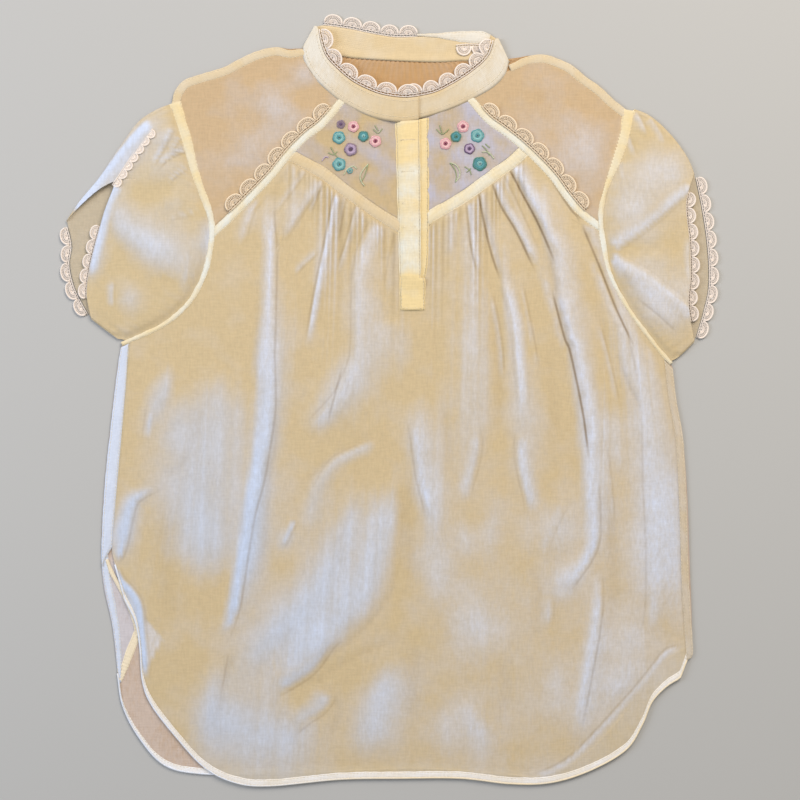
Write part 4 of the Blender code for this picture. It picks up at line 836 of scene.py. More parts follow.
def frontPlan():
    # columns fan from the armholes and yoke seams down to the hem
    armLeft, armRight = edges["armInLeft"], edges["armInRight"]
    raglanLeft, raglanRight = edges["raglanInLeft"], edges["raglanInRight"]
    downLeft, downRight = edges["yokeDownLeft"], edges["yokeDownRight"]
    underLeft, underRight = meeting(edges["sideLeft"], armLeft), meeting(edges["sideRight"], armRight)
    a, b = meeting(armLeft, raglanLeft), meeting(raglanLeft, downLeft)
    c, d = meeting(raglanRight, downRight), meeting(raglanRight, armRight)
    counts = front["columns"]
    pieces = [stretchOf(armLeft, underLeft, a, counts[0]), stretchOf(raglanLeft, a, b, counts[1]),
              stretchOf(downLeft, b, (10, 151), counts[2]),
              resample(np.array(((11.0, 150.0), (38.0, 159.0))), counts[3]),
              stretchOf(downRight, (39, 160), c, counts[4]), stretchOf(raglanRight, c, d, counts[5]),
              stretchOf(armRight, d, underRight, counts[6])]
    joints = front["joints"]
    top = np.vstack([pieces[0]] + [piece[1:] for piece in pieces[1:]])
    share = np.concatenate([np.linspace(joints[0], joints[1], counts[0])]
                           + [np.linspace(low, high, count)[1:]
                              for low, high, count in zip(joints[1:], joints[2:], counts[1:])])
    left = stretchOf(edges["sideLeft"], underLeft, edges["sideLeft"][-1], 60)
    right = stretchOf(edges["sideRight"], underRight, edges["sideRight"][-1], 60)
    hem = np.vstack((left[-1], curveThrough(seamLines["frontHem"][1:-1]), right[-1]))
    t = np.linspace(0, 1, front["rows"])
    rows = 0.72 * t + 0.28 * t ** 2
    plan = fillPatch(top, atShares(hem, share), atShares(left, rows), atShares(right, rows), share, rows,
                     front["lean"], front["hold"])
    first = counts[0] + counts[1] - 2
    last = sum(counts) - 7 - (counts[5] + counts[6] - 2)
    return plan, first, last


def makeFront():
    # height = flat level + gathers under the yoke seams + the rise over the lace + the folds
    plan, first, last = frontPlan()
    column = np.arange(plan.shape[1])
    below = np.linalg.norm(plan - plan[0][None], axis=2)
    along = measure(plan[0])
    gathered = ease((column - first + 6) / 12) * ease((last - column + 6) / 12)
    ripple = 0.5 + 0.5 * np.cos(along * 2 * math.pi / front["gatherPitch"] + 2.6 * np.sin(along / 10.3)
                                + 1.5 * np.sin(along / 4.1 + 1))
    tall = 0.55 + 0.45 * np.sin(along / 5.3 + 2 * np.sin(along / 17))
    reach = front["gatherReach"] * (0.7 + 0.5 * np.sin(along / 8.7 + 1.5 * np.sin(along / 31)))
    gathers = (gathered * tall * ripple ** 1.4)[None] * np.exp(-(below / reach[None]) ** 2)
    gathers *= 0.3 + 0.7 * ease(below / 9)
    overLace = (1 - ease((below - front["laceRiseReach"]) / 22)) * ease(below / 5)
    rise = front["laceRise"] * gathered[None] * overLace
    edge = distanceTo(plan, plan[-1])
    sides = np.minimum(distanceTo(plan, plan[:, 0]), distanceTo(plan, plan[:, -1]))
    swells, light = swellHeights(plan, front["swells"], front["foldScale"])
    pleated, bright, lines = pleatMarks(plan, front["pleats"])
    down = np.linspace(0, 1, plan.shape[0])[:, None]
    across = (along / along[-1])[None]
    streak = (0.5 * np.sin(2 * math.pi * 31 * across + 1.6 * np.sin(3.1 * down + 9 * across))
              + 0.3 * np.sin(2 * math.pi * 67 * across + 2.2 * np.sin(2.3 * down + 14 * across))
              + 0.2 * np.sin(2 * math.pi * 118 * across + 2.6 * np.sin(4.1 * down)))
    streak = streak * (1 - 0.45 * down) * ease(below / 20) * (0.6 + 0.4 * np.sin(7 * down + 21 * across))
    near = ease(np.minimum(below / 26, 1)) * (0.35 + 0.65 * ease(edge / 30))
    creases = creaseDepths(plan, front["creases"], 0.5) * ease(below / 12)
    folds = swells * near
    beside = np.maximum(np.abs(plan[..., 0] - front["placketMiddle"]) - front["placketReach"], 0.0)
    beside = np.hypot(beside, np.maximum(front["placketEnd"] - 4 - plan[..., 1], 0.0))
    clear = ease(beside / 13)
    inside = ease(sides / 5) * ease(edge / 8) * ease(below / 3)
    rises = ((front["gatherHeight"] * gathers + rise + folds * ease(sides / 12)) * clear + creases
             + pleated * inside * ease(beside / 5) + 0.25 * (streak + 0.4))
    rises = np.maximum(rises, -0.3)
    low = ease((60 - plan[..., 1]) / 330)
    # lift: the swells' light and the gathers' crests are partly lifted cloth and partly a painted highlight,
    # and the pleats' crests are a painted highlight
    lift = 0.92 * light * ease(below / 14) * (0.3 + 0.7 * clear) * (0.95 + 0.3 * streak)
    lift = lift + 0.5 * (gathers - 0.2) + 0.09 * streak + 0.14 * low
    lift = np.maximum(lift, 0.95 * bright * (0.3 + 0.7 * clear))
    # painted highlight on the threads between the gathers, and a paler lower right half
    sharp = (gathered * tall * ripple ** 3)[None] * np.exp(-(below / (1.8 * reach[None])) ** 2)
    lift = lift + 0.4 * sharp * ease(below / 6)
    lift = lift + 0.2 * ease((20 - plan[..., 1]) / 200) * ease((plan[..., 0] + 30) / 120)
    # painted cool light from the window on the left: it falls on the lit folds, strongest on the left and
    # lower down
    window = 0.4 + 0.6 * ease((80 - plan[..., 0]) / 260)
    cool = 0.7 * ease(np.maximum(light, bright) * 1.1) * ease((190 - plan[..., 1]) / 330) * window
    # painted shade in the creases and in the valleys between the gathers
    valleys = (gathered * (1 - ripple) ** 2)[None] * np.exp(-(below / (1.2 * reach[None])) ** 2)
    shade = np.clip(-0.12 * creases + 0.3 * valleys * ease(below / 4), 0, 0.6)
    # the corner of the front that is folded back inside shows through as a lighter triangle
    flapTop, flapPoint, flapEnd = (np.array(point, float) for point in folded["flap"])
    inFlap = np.full(plan.shape[:2], 9.0)
    for start, end in ((flapTop, flapPoint), (flapPoint, flapEnd)):
        way = (end - start) / np.linalg.norm(end - start)
        gap = (start[1] - plan[..., 1]) * way[0] - (start[0] - plan[..., 0]) * way[1]
        inFlap = np.minimum(inFlap, gap)
    lift = np.maximum(lift, 0.6 * ease(inFlap / 2.5))
    return clothGrid("frontCloth", plan, layers["front"] + rises, muslin, ["front_panel"], "gauze",
                     lift=lift, wall=front["thick"], marks=dict(cool=cool, paintedShade=shade, **lines))


frontCloth = makeFront()
print("front made")


# Front yokes and shoulders

yokes = dict(thick=0.4, columns=60, rows=52, centres=dict(Left=12.0, Right=31.0), top=262.0, end=150.0,
             lifts=dict(Left=0.28, Right=0.75))
shoulders = dict(
    thick=0.4, columns=90, rows=52,
    swellsLeft=(
        (((-131, 299, 8.3), (-116, 280, 11.0), (-96, 265, 10.1), (-76, 251, 8.3), (-63, 243, 4.6)), 2, 3,
         1.8, 0.62, 0.25, 0.2),
        (((-153, 264, 7.4), (-133, 240, 12.9), (-116, 216, 12.0), (-126, 192, 7.4)), 2, 2, 1.2, 0.42, 0.3,
         0.3),
        (((-78, 317, 7.4), (-76, 300, 7.4), (-65, 286, 5.5)), 2, 2, 0.8, 0.5, 0.3, 0.3),
        (((-169, 229, 7.4), (-150, 201, 9.2), (-144, 183, 5.5)), 2, 2, 0.6, 0.2, 0.3, 0.3)),
    swellsRight=(
        (((200, 269, 9.2), (191, 251, 16.6), (174, 229, 13.8), (184, 203, 13.8), (176, 179, 7.4)), 2, 2,
         1.9, 0.62, 0.2, 0.2),
        (((93, 253, 4.6), (119, 235, 7.4), (144, 214, 9.2), (163, 190, 6.4)), 2, 2, 1.1, 0.5, 0.2, 0.3),
        (((114, 297, 6.4), (144, 286, 8.3), (169, 271, 7.4)), 2, 2, 0.8, 0.3, 0.3, 0.3)))


def makeYokes():
    # the flat triangles beside the placket
    made = []
    for side in ("Left", "Right"):
        neck, lower, raglan = edges["neck" + side], edges["yokeUp" + side], edges["raglanIn" + side]
        line = np.array(((yokes["centres"][side], yokes["top"]), (yokes["centres"][side], yokes["end"])))
        a, b = meeting(raglan, neck), meeting(neck, line)
        c, d = meeting(raglan, lower), meeting(lower, line)
        plan = fillPatch(stretchOf(neck, a, b, yokes["columns"]), stretchOf(lower, c, d, yokes["columns"]),
                         stretchOf(raglan, a, c, yokes["rows"]),
                         stretchOf(resample(line, 60), b, d, yokes["rows"]))
        wander = 0.25 * np.sin(plan[..., 0] / 6.1 + plan[..., 1] / 9.0) * np.sin(plan[..., 1] / 7.3)
        made.append(clothGrid("yokeCloth" + side, plan, layers["front"] + wander, muslinSheer,
                              ["front_yoke_" + side.lower()], lift=yokes["lifts"][side] + wander,
                              wall=yokes["thick"]))
    return made


def makeShoulders():
    made = []
    for side in ("Left", "Right"):
        upper, lower = edges["shoulder" + side], edges["raglanOut" + side]
        neck, arm = edges["neck" + side], edges["armIn" + side]
        a, b = meeting(upper, neck), meeting(upper, arm)
        c, d = meeting(lower, neck), meeting(lower, arm)
        plan = fillPatch(stretchOf(upper, a, b, shoulders["columns"]),
                         stretchOf(lower, c, d, shoulders["columns"]),
                         stretchOf(neck, a, c, shoulders["rows"]), stretchOf(arm, b, d, shoulders["rows"]))
        inside = np.minimum(distanceTo(plan, upper), distanceTo(plan, lower))
        rise, light = swellHeights(plan, shoulders["swells" + side])
        rise = rise * ease(inside / 14)
        made.append(clothGrid("shoulderCloth" + side, plan, layers["front"] + rise, muslinShoulder,
                              ["shoulder_" + side.lower()], lift=light, wall=shoulders["thick"]))
    return made


yokeCloths = makeYokes()
shoulderCloths = makeShoulders()


# Seam bands

# the armhole band's half width at shares of its length, from the shoulder to the underarm
armholeHalves = dict(Left=((0, 0.12, 0.3, 0.42, 0.6, 0.75, 1), (5.8, 5.6, 4.2, 3.1, 2.9, 2.5, 2.1)),
                     Right=((0, 0.2, 0.29, 0.42, 0.5, 0.6, 1), (6.3, 6.0, 2.6, 2.5, 3.4, 2.2, 2.0)))
bands = dict(overlap=1.1,       # how far a band's edge lies over the cloth that is sewn to it
             steps=120, thick=0.9, yokeThick=1.0, armholeThick=1.1, shoulderThick=0.7)


def makeBands():
    # each band is a folded strip whose two edges are its seam line moved half its width aside
    steps, overlap = bands["steps"], bands["overlap"]
    share = np.linspace(0, 1, steps)
    for side, turn in (("Left", 1), ("Right", -1)):
        low = side.lower()
        isLeft = side == "Left"
        half = seamWidths["raglan"] / 2 + overlap
        rails = []
        for offset in (half, -half):
            rail = stepAside(seamLines["raglan" + side], offset, runOn)
            rails.append(stretchOf(rail, meeting(rail, edges["neck" + side]),
                                   meeting(rail, edges["bandEnd" + side]), steps))
        addBand("raglanBand" + side, *rails, bandLevel, bands["thick"], muslinDouble, ["raglan_band_" + low],
                lift=0.8)
        half = seamWidths["yoke"] / 2 + overlap
        upper = stepAside(seamLines["yoke" + side], half, runOn + 2)
        lower = stepAside(seamLines["yoke" + side], -half, runOn + 2)
        wall = edges["raglanIn" + side]
        nudge = np.array((0.7 * turn, 0.0))
        if isLeft:
            ends = ((meeting(upper, wall) + nudge, (12, 165)), (meeting(lower, wall) + nudge, (10, 152)))
        else:
            ends = (((36, 172), meeting(upper, wall) + nudge), ((36, 160), meeting(lower, wall) + nudge))
        addBand("yokeBand" + side, stretchOf(upper, *ends[0], 110), stretchOf(lower, *ends[1], 110),
                bandLevel, bands["yokeThick"], muslinStand if isLeft else muslinDouble,
                ["yoke_band_" + low], lift=0.15 if isLeft else 0.6)
        # the armhole's allowance is broad at the shoulder and rolls to a cord under the arm
        middle = resample(stepAside(seamLines["arm" + side], 0.0), 160)
        along = np.linspace(0, 1, 160)
        aside = leftOf(middle) * np.interp(along, *armholeHalves[side])[:, None]
        white = 0.35 + 0.6 * ease((along - 0.3) / 0.15) * ease((0.85 - along) / 0.2)
        addBand("armholeBand" + side, middle + aside, middle - aside, bandLevel, bands["armholeThick"],
                muslinDouble, ["armhole_band_" + low], lift=white, pucker=0.32)
        rails = []
        for offset in (0.0, (seamWidths["side"] + overlap) * turn):
            rail = stepAside(seamLines["frontSide" + side], offset, 10)[:-1]
            rails.append(stretchOf(rail, meeting(rail, edges["bandEnd" + side]), rail[-1], steps))
        if isLeft:
            # its outer edge follows the back's outline, and its lower end narrows into the vent's edge
            outline = stretchOf(curveThrough(seamLines["backSideLeft"]), rails[0][0], rails[0][-1], steps)
            rails[0] = outline + np.array((0.4, 0.0))
            narrow = ease((share - 0.9) / 0.1)[:, None]
            rails[1] = rails[1] * (1 - 0.96 * narrow) + rails[0] * 0.96 * narrow
        else:
            # its lower end is rounded towards the hem
            past = np.clip((share - 0.96) / 0.04, 0, 1)
            turned = 0.75 * (1 - np.sqrt(1 - past ** 2))[:, None]
            rails[0] = rails[0] * (1 - turned) + rails[1] * turned
        addBand("sideSeam" + side, *rails, bandLevel, bands["thick"], muslinEdge if isLeft else muslin,
                ["side_seam_" + low], lift=0.6 if isLeft else 0.3)
        width = seamWidths["shoulder"] + overlap * 1.9
        outer, inner = (resample(stepAside(seamLines["shoulder" + side], offset, 8), 90)
                        for offset in (0.0, width * turn))
        # the seam's outer edge runs out under the collar at the neck
        outer = outer + leftOf(outer) * turn * 1.6 * np.exp(-(np.linspace(0, 1, 90) / 0.12) ** 2)[:, None]
        addBand("shoulderSeam" + side, outer, inner, bandLevel, bands["shoulderThick"], muslinStand,
                ["shoulder_seam_" + low], lift=0.25)


makeBands()
print("bands made")


# Sleeves, tubes pressed flat

sleeves = dict(
    thick=0.45, edgeLevel=1.4, topLevel=2.7, puff=1.2, gatherHeight=0.45, rows=70, columns=110,
    Left=dict(
        upper=((-202, 270), (-214, 265), (-230, 254), (-247, 231), (-265, 204), (-284, 181), (-296, 163)),
        lower=((-249, 55), (-260, 63), (-273, 73)),
        backEdge=((-296, 163), (-291, 141), (-293, 123), (-289, 104), (-282, 89), (-273, 73)),
        frontEdge=((-296, 163), (-287, 173), (-271, 188), (-254, 202), (-251, 197), (-261, 170),
                   (-268, 145), (-274, 120), (-277, 96), (-273, 73))),
    Right=dict(
        upper=((226, 266), (238, 261), (250, 252), (264, 237), (275, 221), (281, 207)),
        lower=((265, 37), (272, 43), (281, 52)),
        backEdge=((281, 207), (288, 173), (293, 137), (294, 104), (289, 79), (281, 52)),
        frontEdge=((281, 207), (273, 180), (276, 146), (277, 114), (275, 86), (281, 52))),
    swellsLeft=(
        (((-201, 269, 3.7), (-236, 230, 6.4), (-260, 197, 7.4), (-286, 166, 8.3)), 2, 2, 1.6, 0.7, 0.15,
         0.2),
        (((-247, 214, 5.5), (-252, 184, 7.4), (-242, 159, 9.2), (-218, 142, 12.0), (-192, 126, 13.8), (-183,
         104, 11.0), (-203, 89, 6.4)), 3, 2, 2.6, 0.62, 0.15, 0.2),
        (((-168, 172, 3.7), (-164, 146, 4.6), (-168, 120, 5.5)), 2, 2, 1.0, 0.7, 0.3, 0.3),
        (((-265, 162, 6.4), (-270, 129, 5.5), (-276, 98, 3.7)), 2, 2, 1.2, 0.6, 0.3, 0.3),
        (((-186, 249, 3.7), (-203, 240, 4.6), (-221, 227, 4.6)), 2, 2, 1.8, 0.35, 0.3, 0.4),
        (((-181, 215, 4.6), (-210, 210, 6.4), (-232, 190, 5.5)), 2, 2, 1.6, 0.3, 0.3, 0.4),
        (((-219, 100, 7.4), (-240, 91, 7.4), (-256, 85, 4.6)), 2, 2, 1.4, 0.4, 0.3, 0.3),
        (((-177, 192, 3.7), (-201, 177, 5.5), (-223, 170, 5.5)), 2, 2, 1.3, 0.25, 0.3, 0.4)),
    # pleats: crest points, width, dark side, light, depth, share that each end fades over
    pleatsLeft=(
        (((-249, 197), (-256, 181), (-261, 165), (-267, 141), (-272, 120), (-274, 106)), 3.2, -1, 1, 0,
         0.04, 0.2),
        (((-216, 258), (-234, 240), (-249, 222), (-264, 203), (-279, 185), (-292, 171)), 4.6, -1, 1, 0,
         0.1, 0.08),
        (((-183, 230), (-195, 226), (-206, 219), (-214, 210)), 2.4, 1, 0.5, 0.45, 0.1, 0.3),
        (((-198, 249), (-204, 237), (-211, 224), (-220, 210)), 2.2, 1, 0.5, 0.2, 0.1, 0.3),
        (((-191, 241), (-197, 232), (-203, 221)), 1.7, 1, 0.4, 0.2, 0.1, 0.4),
        (((-185, 212), (-196, 205), (-205, 194)), 1.7, 1, 0.3, 0.2, 0.1, 0.4),
        (((-182, 146), (-184, 126), (-186, 111), (-188, 97)), 3.4, 1, 0.4, 0, 0.3, 0.3),
        (((-177, 170), (-192, 168), (-207, 162)), 1.8, 1, 0.3, 0.15, 0.1, 0.4),
        (((-253, 108), (-254, 95), (-253, 82)), 2.2, 1, 0.4, 0.1, 0.2, 0.3)),
    pleatsRight=(
        (((281, 196), (264, 183), (248, 169), (230, 155), (215, 145), (206, 137)), 4.6, 1, 0.75, 0.12,
         0.08, 0.06),
        (((205, 132), (215, 124), (231, 116), (250, 102), (268, 87), (283, 74)), 4.8, 1, 0.85, 0.1,
         0.05, 0.1),
        (((228, 96), (242, 85), (256, 73), (269, 60)), 2.4, -1, 0.3, 0.35, 0.2, 0.25),
        (((226, 264), (232, 253), (238, 240)), 1.8, 1, 0.4, 0.2, 0.1, 0.4),
        (((218, 247), (223, 232), (228, 219)), 1.8, 1, 0.4, 0.2, 0.1, 0.4),
        (((211, 219), (215, 201), (217, 183)), 2.0, -1, 0.4, 0.15, 0.1, 0.4),
        (((239, 258), (248, 245), (255, 230)), 2.2, 1, 0.4, 0.12, 0.1, 0.4),
        (((276, 150), (275, 126), (277, 100)), 2.0, 1, 0.4, 0.2, 0.2, 0.3)),
    swellsRight=(
        (((231, 245, 7.4), (242, 219, 13.8), (235, 190, 14.7), (218, 159, 9.2), (206, 137, 3.7)), 2, 2, 2.4,
         0.55, 0.2, 0.15),
        (((207, 131, 3.7), (224, 116, 6.4), (244, 98, 11.0), (264, 77, 13.8), (281, 58, 11.0)), 3, 2, 3.0,
         0.78, 0.12, 0.15),
        (((257, 236, 7.4), (261, 210, 10.1), (253, 186, 8.3)), 2, 2, 1.3, 0.42, 0.3, 0.3),
        (((209, 146, 2.8), (239, 150, 4.6), (270, 159, 5.5)), 2, 2, 1.2, 0.2, 0.2, 0.4),
        (((211, 129, 2.8), (241, 126, 4.6), (276, 120, 5.5)), 2, 2, 1.4, 0.2, 0.2, 0.4),
        (((218, 210, 3.7), (215, 183, 4.6), (207, 153, 3.7)), 2, 2, 1.2, 0.3, 0.3, 0.3)))


def makeSleeve(side):
    # the upper and the lower face are patches that share their two folded edges; the upper one
    # puffs up between them, and its folds fade at the head and at both edges
    shape = sleeves[side]
    turn = 1 if side == "Right" else -1
    arm = seamLines["arm" + side]
    armFront = stepAside(arm, turn * layers["armTuck"])
    armBack = stepAside(arm, turn * layers["sleeveClear"])
    start, finish = np.array(shape["upper"][0], float), np.array(shape["lower"][0], float)
    t = np.linspace(0, 1, sleeves["columns"])
    across = t - 0.9 * np.sin(2 * math.pi * t) / (2 * math.pi)
    along = np.linspace(0, 1, sleeves["rows"])
    faces = []
    for head, cuff in ((armFront, shape["frontEdge"]), (armBack, shape["backEdge"])):
        line = np.vstack((start, stretchOf(head, head[3], head[-3], 40), finish))
        faces.append(fillPatch(atShares(line, across), atShares(curveThrough(cuff), across),
                               atShares(curveThrough(shape["upper"]), along),
                               atShares(curveThrough(shape["lower"]), along), across, along))
    upper, lower = faces
    round_ = ease(np.minimum(across, 1 - across) / 0.012)
    rim = np.minimum(distanceTo(upper, upper[:, 0]), distanceTo(upper, upper[:, -1]))
    headGap = distanceTo(upper, upper[0])
    folds, light = swellHeights(upper, sleeves["swells" + side])
    pleated, bright, lines = pleatMarks(upper, sleeves["pleats" + side])
    inside = ease(rim / 6) * ease((headGap - 3) / 10)
    around = measure(upper[0])
    puckers = 0.5 + 0.5 * np.sin(around / 1.25 + 1.9 * np.sin(around / 7.3))
    puckers = (puckers * sleeves["gatherHeight"])[None] * np.exp(-(headGap / 15) ** 2)
    puckers *= ease((headGap - 2) / 6)
    puff = (sleeves["puff"] + folds) * ease(rim / 16) * ease(headGap / 14) + pleated * inside + puckers
    deep = sleeves["topLevel"] - sleeves["edgeLevel"]
    upperZ = sleeves["edgeLevel"] + deep * round_ * ease((headGap - 1) / 7) + puff
    # painted highlight on the pleats' crests and on the puckers at the head
    light = np.maximum(light, bright * ease(headGap / 6)) + 0.25 * puckers
    lowerZ = np.broadcast_to(sleeves["edgeLevel"] * (1 - round_) + 0.3 * round_, lower.shape[:2])
    top = np.concatenate((upper, upperZ[..., None]), axis=2)
    bottom = np.concatenate((lower, lowerZ[..., None]), axis=2)
    ring = np.concatenate((top, bottom[:, ::-1][:, 1:-1]), axis=1)
    hidden = np.zeros(lower.shape[:2])[:, 1:-1]
    # painted cool light from the window on the left: strong on the left sleeve, faint on the right
    cool = (0.45 if side == "Left" else 0.15) * ease(light)
    # the lower face, seen inside the sleeve, is painted in shade: less lift, darker and greyer
    marks = dict(lift=np.concatenate((light, hidden - 0.1), axis=1),
                 paintedShade=np.concatenate((0 * light, hidden + 0.16), axis=1),
                 cool=np.concatenate((cool, hidden + 0.16), axis=1))
    marks.update({name: np.concatenate((values.reshape(light.shape), hidden), axis=1)
                  for name, values in lines.items()})
    return addPiece("sleeveCloth" + side, ring, gridFaces(*ring.shape[:2], wrap=True, flip=turn < 0),
                    muslin, ["sleeve_" + side.lower()], "gauze", uv=ring[..., :2],
                    marks=marks, wall=sleeves["thick"])


sleeveCloths = [makeSleeve("Left"), makeSleeve("Right")]
print("sleeves made")


# Collar band, one strip round the neck

collar = dict(thick=0.8, lift=1.9, lap=1.3, levels=dict(back=0.5, front=1.8), over=2.0, under=0.7)


def collarTable(rows, count):
    table = np.array(rows, float)
    return resample(curveThrough(table[:, :2]), count), resample(curveThrough(table[:, 2:]), count)


def collarSections(count=70):
    # pairs of a seam point and an upper edge point: over end, left crescent, a half turn at the
    # left fold, back, a half turn at the right fold, right crescent, under end
    half = collar["levels"]["back"]
    seamL, topL = collarTable(collarLeft, count)
    seamR, topR = collarTable(collarRight, count)
    lowL = collar["levels"]["front"] + collar["over"] * ease((seamL[:, 0] + 14) / 22)
    lowR = collar["levels"]["front"] + collar["under"] * ease((52 - seamR[:, 0]) / 18)
    backSeam = resample(curveThrough(seamLines["backNeck"]), count)
    backTop = resample(curveThrough(seamLines["backBandTop"]), count)

    def pairs(seam, top, seamZ, topZ):
        low = np.concatenate((seam, np.broadcast_to(seamZ, len(seam))[:, None]), 1)
        high = np.concatenate((top, np.broadcast_to(topZ, len(top))[:, None]), 1)
        return np.stack((low, high), 1)

    def halfTurn(seam, top, seamZ, topZ, outward, upward):
        angle = np.linspace(0, math.pi, 14)[1:-1]
        both = []
        for point, z in ((seam, seamZ), (top, topZ)):
            radius = (z - half) / 2
            height = half + radius + radius * np.cos(angle) * (-1 if upward else 1)
            plan = point[None] + np.array(outward)[None] * radius * np.sin(angle)[:, None]
            both.append(np.concatenate((plan, height[:, None]), 1))
        return np.stack(both, 1)

    parts = [pairs(seamL, topL, lowL, lowL + collar["lift"]),
             halfTurn(seamL[-1], topL[-1], lowL[-1], lowL[-1] + collar["lift"], (-0.85, 0.53), False),
             pairs(backSeam, backTop, half, half),
             halfTurn(seamR[0], topR[0], lowR[0], lowR[0] + collar["lift"], (0.89, 0.46), True),
             pairs(seamR, topR, lowR, lowR + collar["lift"])]
    return parts


def makeCollar():
    # the band's surface between seam and upper edge, bowed a little across its width
    parts = collarSections()
    both = np.vstack(parts)
    share = np.linspace(0, 1, 14)
    along = measure(both[:, 1])
    folds = [len(parts[0]) + 6, len(both) - len(parts[4]) - 6]
    beside = np.min([np.abs(along - along[fold]) for fold in folds], axis=0)
    upTo = (share[None] * (1 - 0.13 * np.exp(-(beside / 4.5) ** 2))[:, None])[..., None]
    grid = both[:, :1] * (1 - upTo) + both[:, 1:] * upTo
    isBack = (np.arange(len(both)) > len(parts[0]) + 5) & (
        np.arange(len(both)) < len(parts[0]) + len(parts[1]) + len(parts[2]) + 6)
    # the seam edge laps over the cloth below it, and both edges are rounded down
    lap = both[:, 0, :2] - both[:, 1, :2]
    lap *= (np.where(isBack, 0.6, 1.0) * collar["lap"] / np.linalg.norm(lap, axis=1))[:, None]
    grid[:, 0, :2] += lap
    drop = 0.3 * (1 - ease(share / 0.14)) + 0.35 * (1 - ease((1 - share) / 0.12))
    grid[..., 2] = np.maximum(grid[..., 2] - drop[None] * np.where(isBack, 0.25, 1.0)[:, None], 0.5)
    grid[..., 2] += np.where(isBack[:, None], 0.75 * (1 - ease(share[None] / 0.35)), 0.0)
    # the band is paler and cooler towards both sides, and on the left that is painted cool shading
    x = grid[:, :1, 0]
    palerShare = 0.1 + 0.75 * ease((-20 - x) / 50) + 0.6 * ease((x - 45) / 45)
    lift = np.where(isBack[:, None], 0.05, palerShare + 0.15 * np.sin(share[None] * math.pi))
    for column in (2, 11):
        addStitches(grid[:len(parts[0]) - 2, column] + (0, 0, 0.45))
        addStitches(grid[-len(parts[4]) + 2:, column] + (0, 0, 0.45))
    uv = np.stack(np.broadcast_arrays(along[:, None], share[None] * 22), -1)
    return addPiece("collarCloth", grid, gridFaces(*grid.shape[:2], flip=facesDown(grid[:60])), muslinStand,
                    ["collar_band"], "band", uv=uv, marks=dict(lift=lift), wall=collar["thick"]), parts


collarCloth, collarParts = makeCollar()


# Placket

placket = dict(over=dict(left=6.0, right=29.0, boxLeft=10.0, boxRight=34.0, boxTop=111.0, end=81.0),
               under=dict(left=13.0, right=37.0, end=105.0), top=254.0, thick=0.85, stitched=0.84,
               bars=(237.0, 208.0, 179.0, 157.0), barLevel=4.42, barInset=4.5, barStitch=1.6,
               seatLow=1.75, seatHigh=3.6, boxStitchLevel=2.75, boxStitchInset=2.0)


def makePlackets():
    # a flap whose lower end steps aside into a box, over a plain strip
    over, under, top = placket["over"], placket["under"], placket["top"]

    def sideOf(x, run, boxX, y):
        flapSide = resample(((x, y), (x + run, over["boxTop"])), 60)
        boxSide = resample(((boxX, over["boxTop"] - 1), (boxX, over["end"])), 16)
        return np.vstack((flapSide, boxSide))

    left = sideOf(over["left"], 4, over["boxLeft"], top)
    right = sideOf(over["right"], 1, over["boxRight"], top + 1.8)
    down = left[:, 1]
    share = (bandColumns(placket["stitched"]) + 1) / 2
    at = left[:, :1] * (1 - share[None]) + right[:, :1] * share[None]
    low = placket["seatLow"]
    seat = low + (placket["seatHigh"] - low) * ease((left[:, 1:] - 96) / 16)
    base = low + (seat - low) * ease((at - left[:, :1]) / 5.5)
    yellow = ease((over["boxTop"] + 6 - down) / 8)
    patches = 0.3 * np.sin(down / 11 + 1.2) * np.sin(down / 5.3)
    palerShare = 0.15 + 0.45 * ease((232 - down) / 50) + patches
    addBand("placketFlap", left, right, base, placket["thick"], muslinDouble, ["placket_over"],
            lift=palerShare * (1 - yellow) - 0.1 * yellow, stitched=placket["stitched"])
    for y in placket["bars"]:
        ends = [np.interp(-y, -edge[:, 1], edge[:, 0]) for edge in (left, right)]
        bar = resample(((ends[0] + placket["barInset"], y, placket["barLevel"]),
                        (ends[1] - placket["barInset"], y + 0.4, placket["barLevel"])), 12)
        addStitches(bar, stitch=placket["barStitch"], gap=0.1)
        addStitches(bar + (0, 0.7, 0), stitch=placket["barStitch"], gap=0.1)
    inset, level = placket["boxStitchInset"], placket["boxStitchLevel"]
    for y in (over["boxTop"] - 4, over["end"] + 2.2):
        addStitches(resample(((over["boxLeft"] + inset, y, level), (over["boxRight"] - inset, y, level)), 30))
    low = resample(((under["left"], top), (under["left"], under["end"])), 70)
    high = resample(curveThrough(((under["right"], top + 4), (under["right"] + 0.4, 190),
                                  (under["right"], 138), (under["right"] - 1.2, 120),
                                  (under["right"] - 4.5, under["end"]))), 70)
    addBand("placketStrip", low, high, ((2.3, placket["seatLow"]),), placket["thick"], muslinDouble,
            ["placket_under"], lift=0.0, stitched=placket["stitched"])


makePlackets()


# Lace

lace = dict(border=0.78, cord=0.42, fine=0.27, header=0.24)


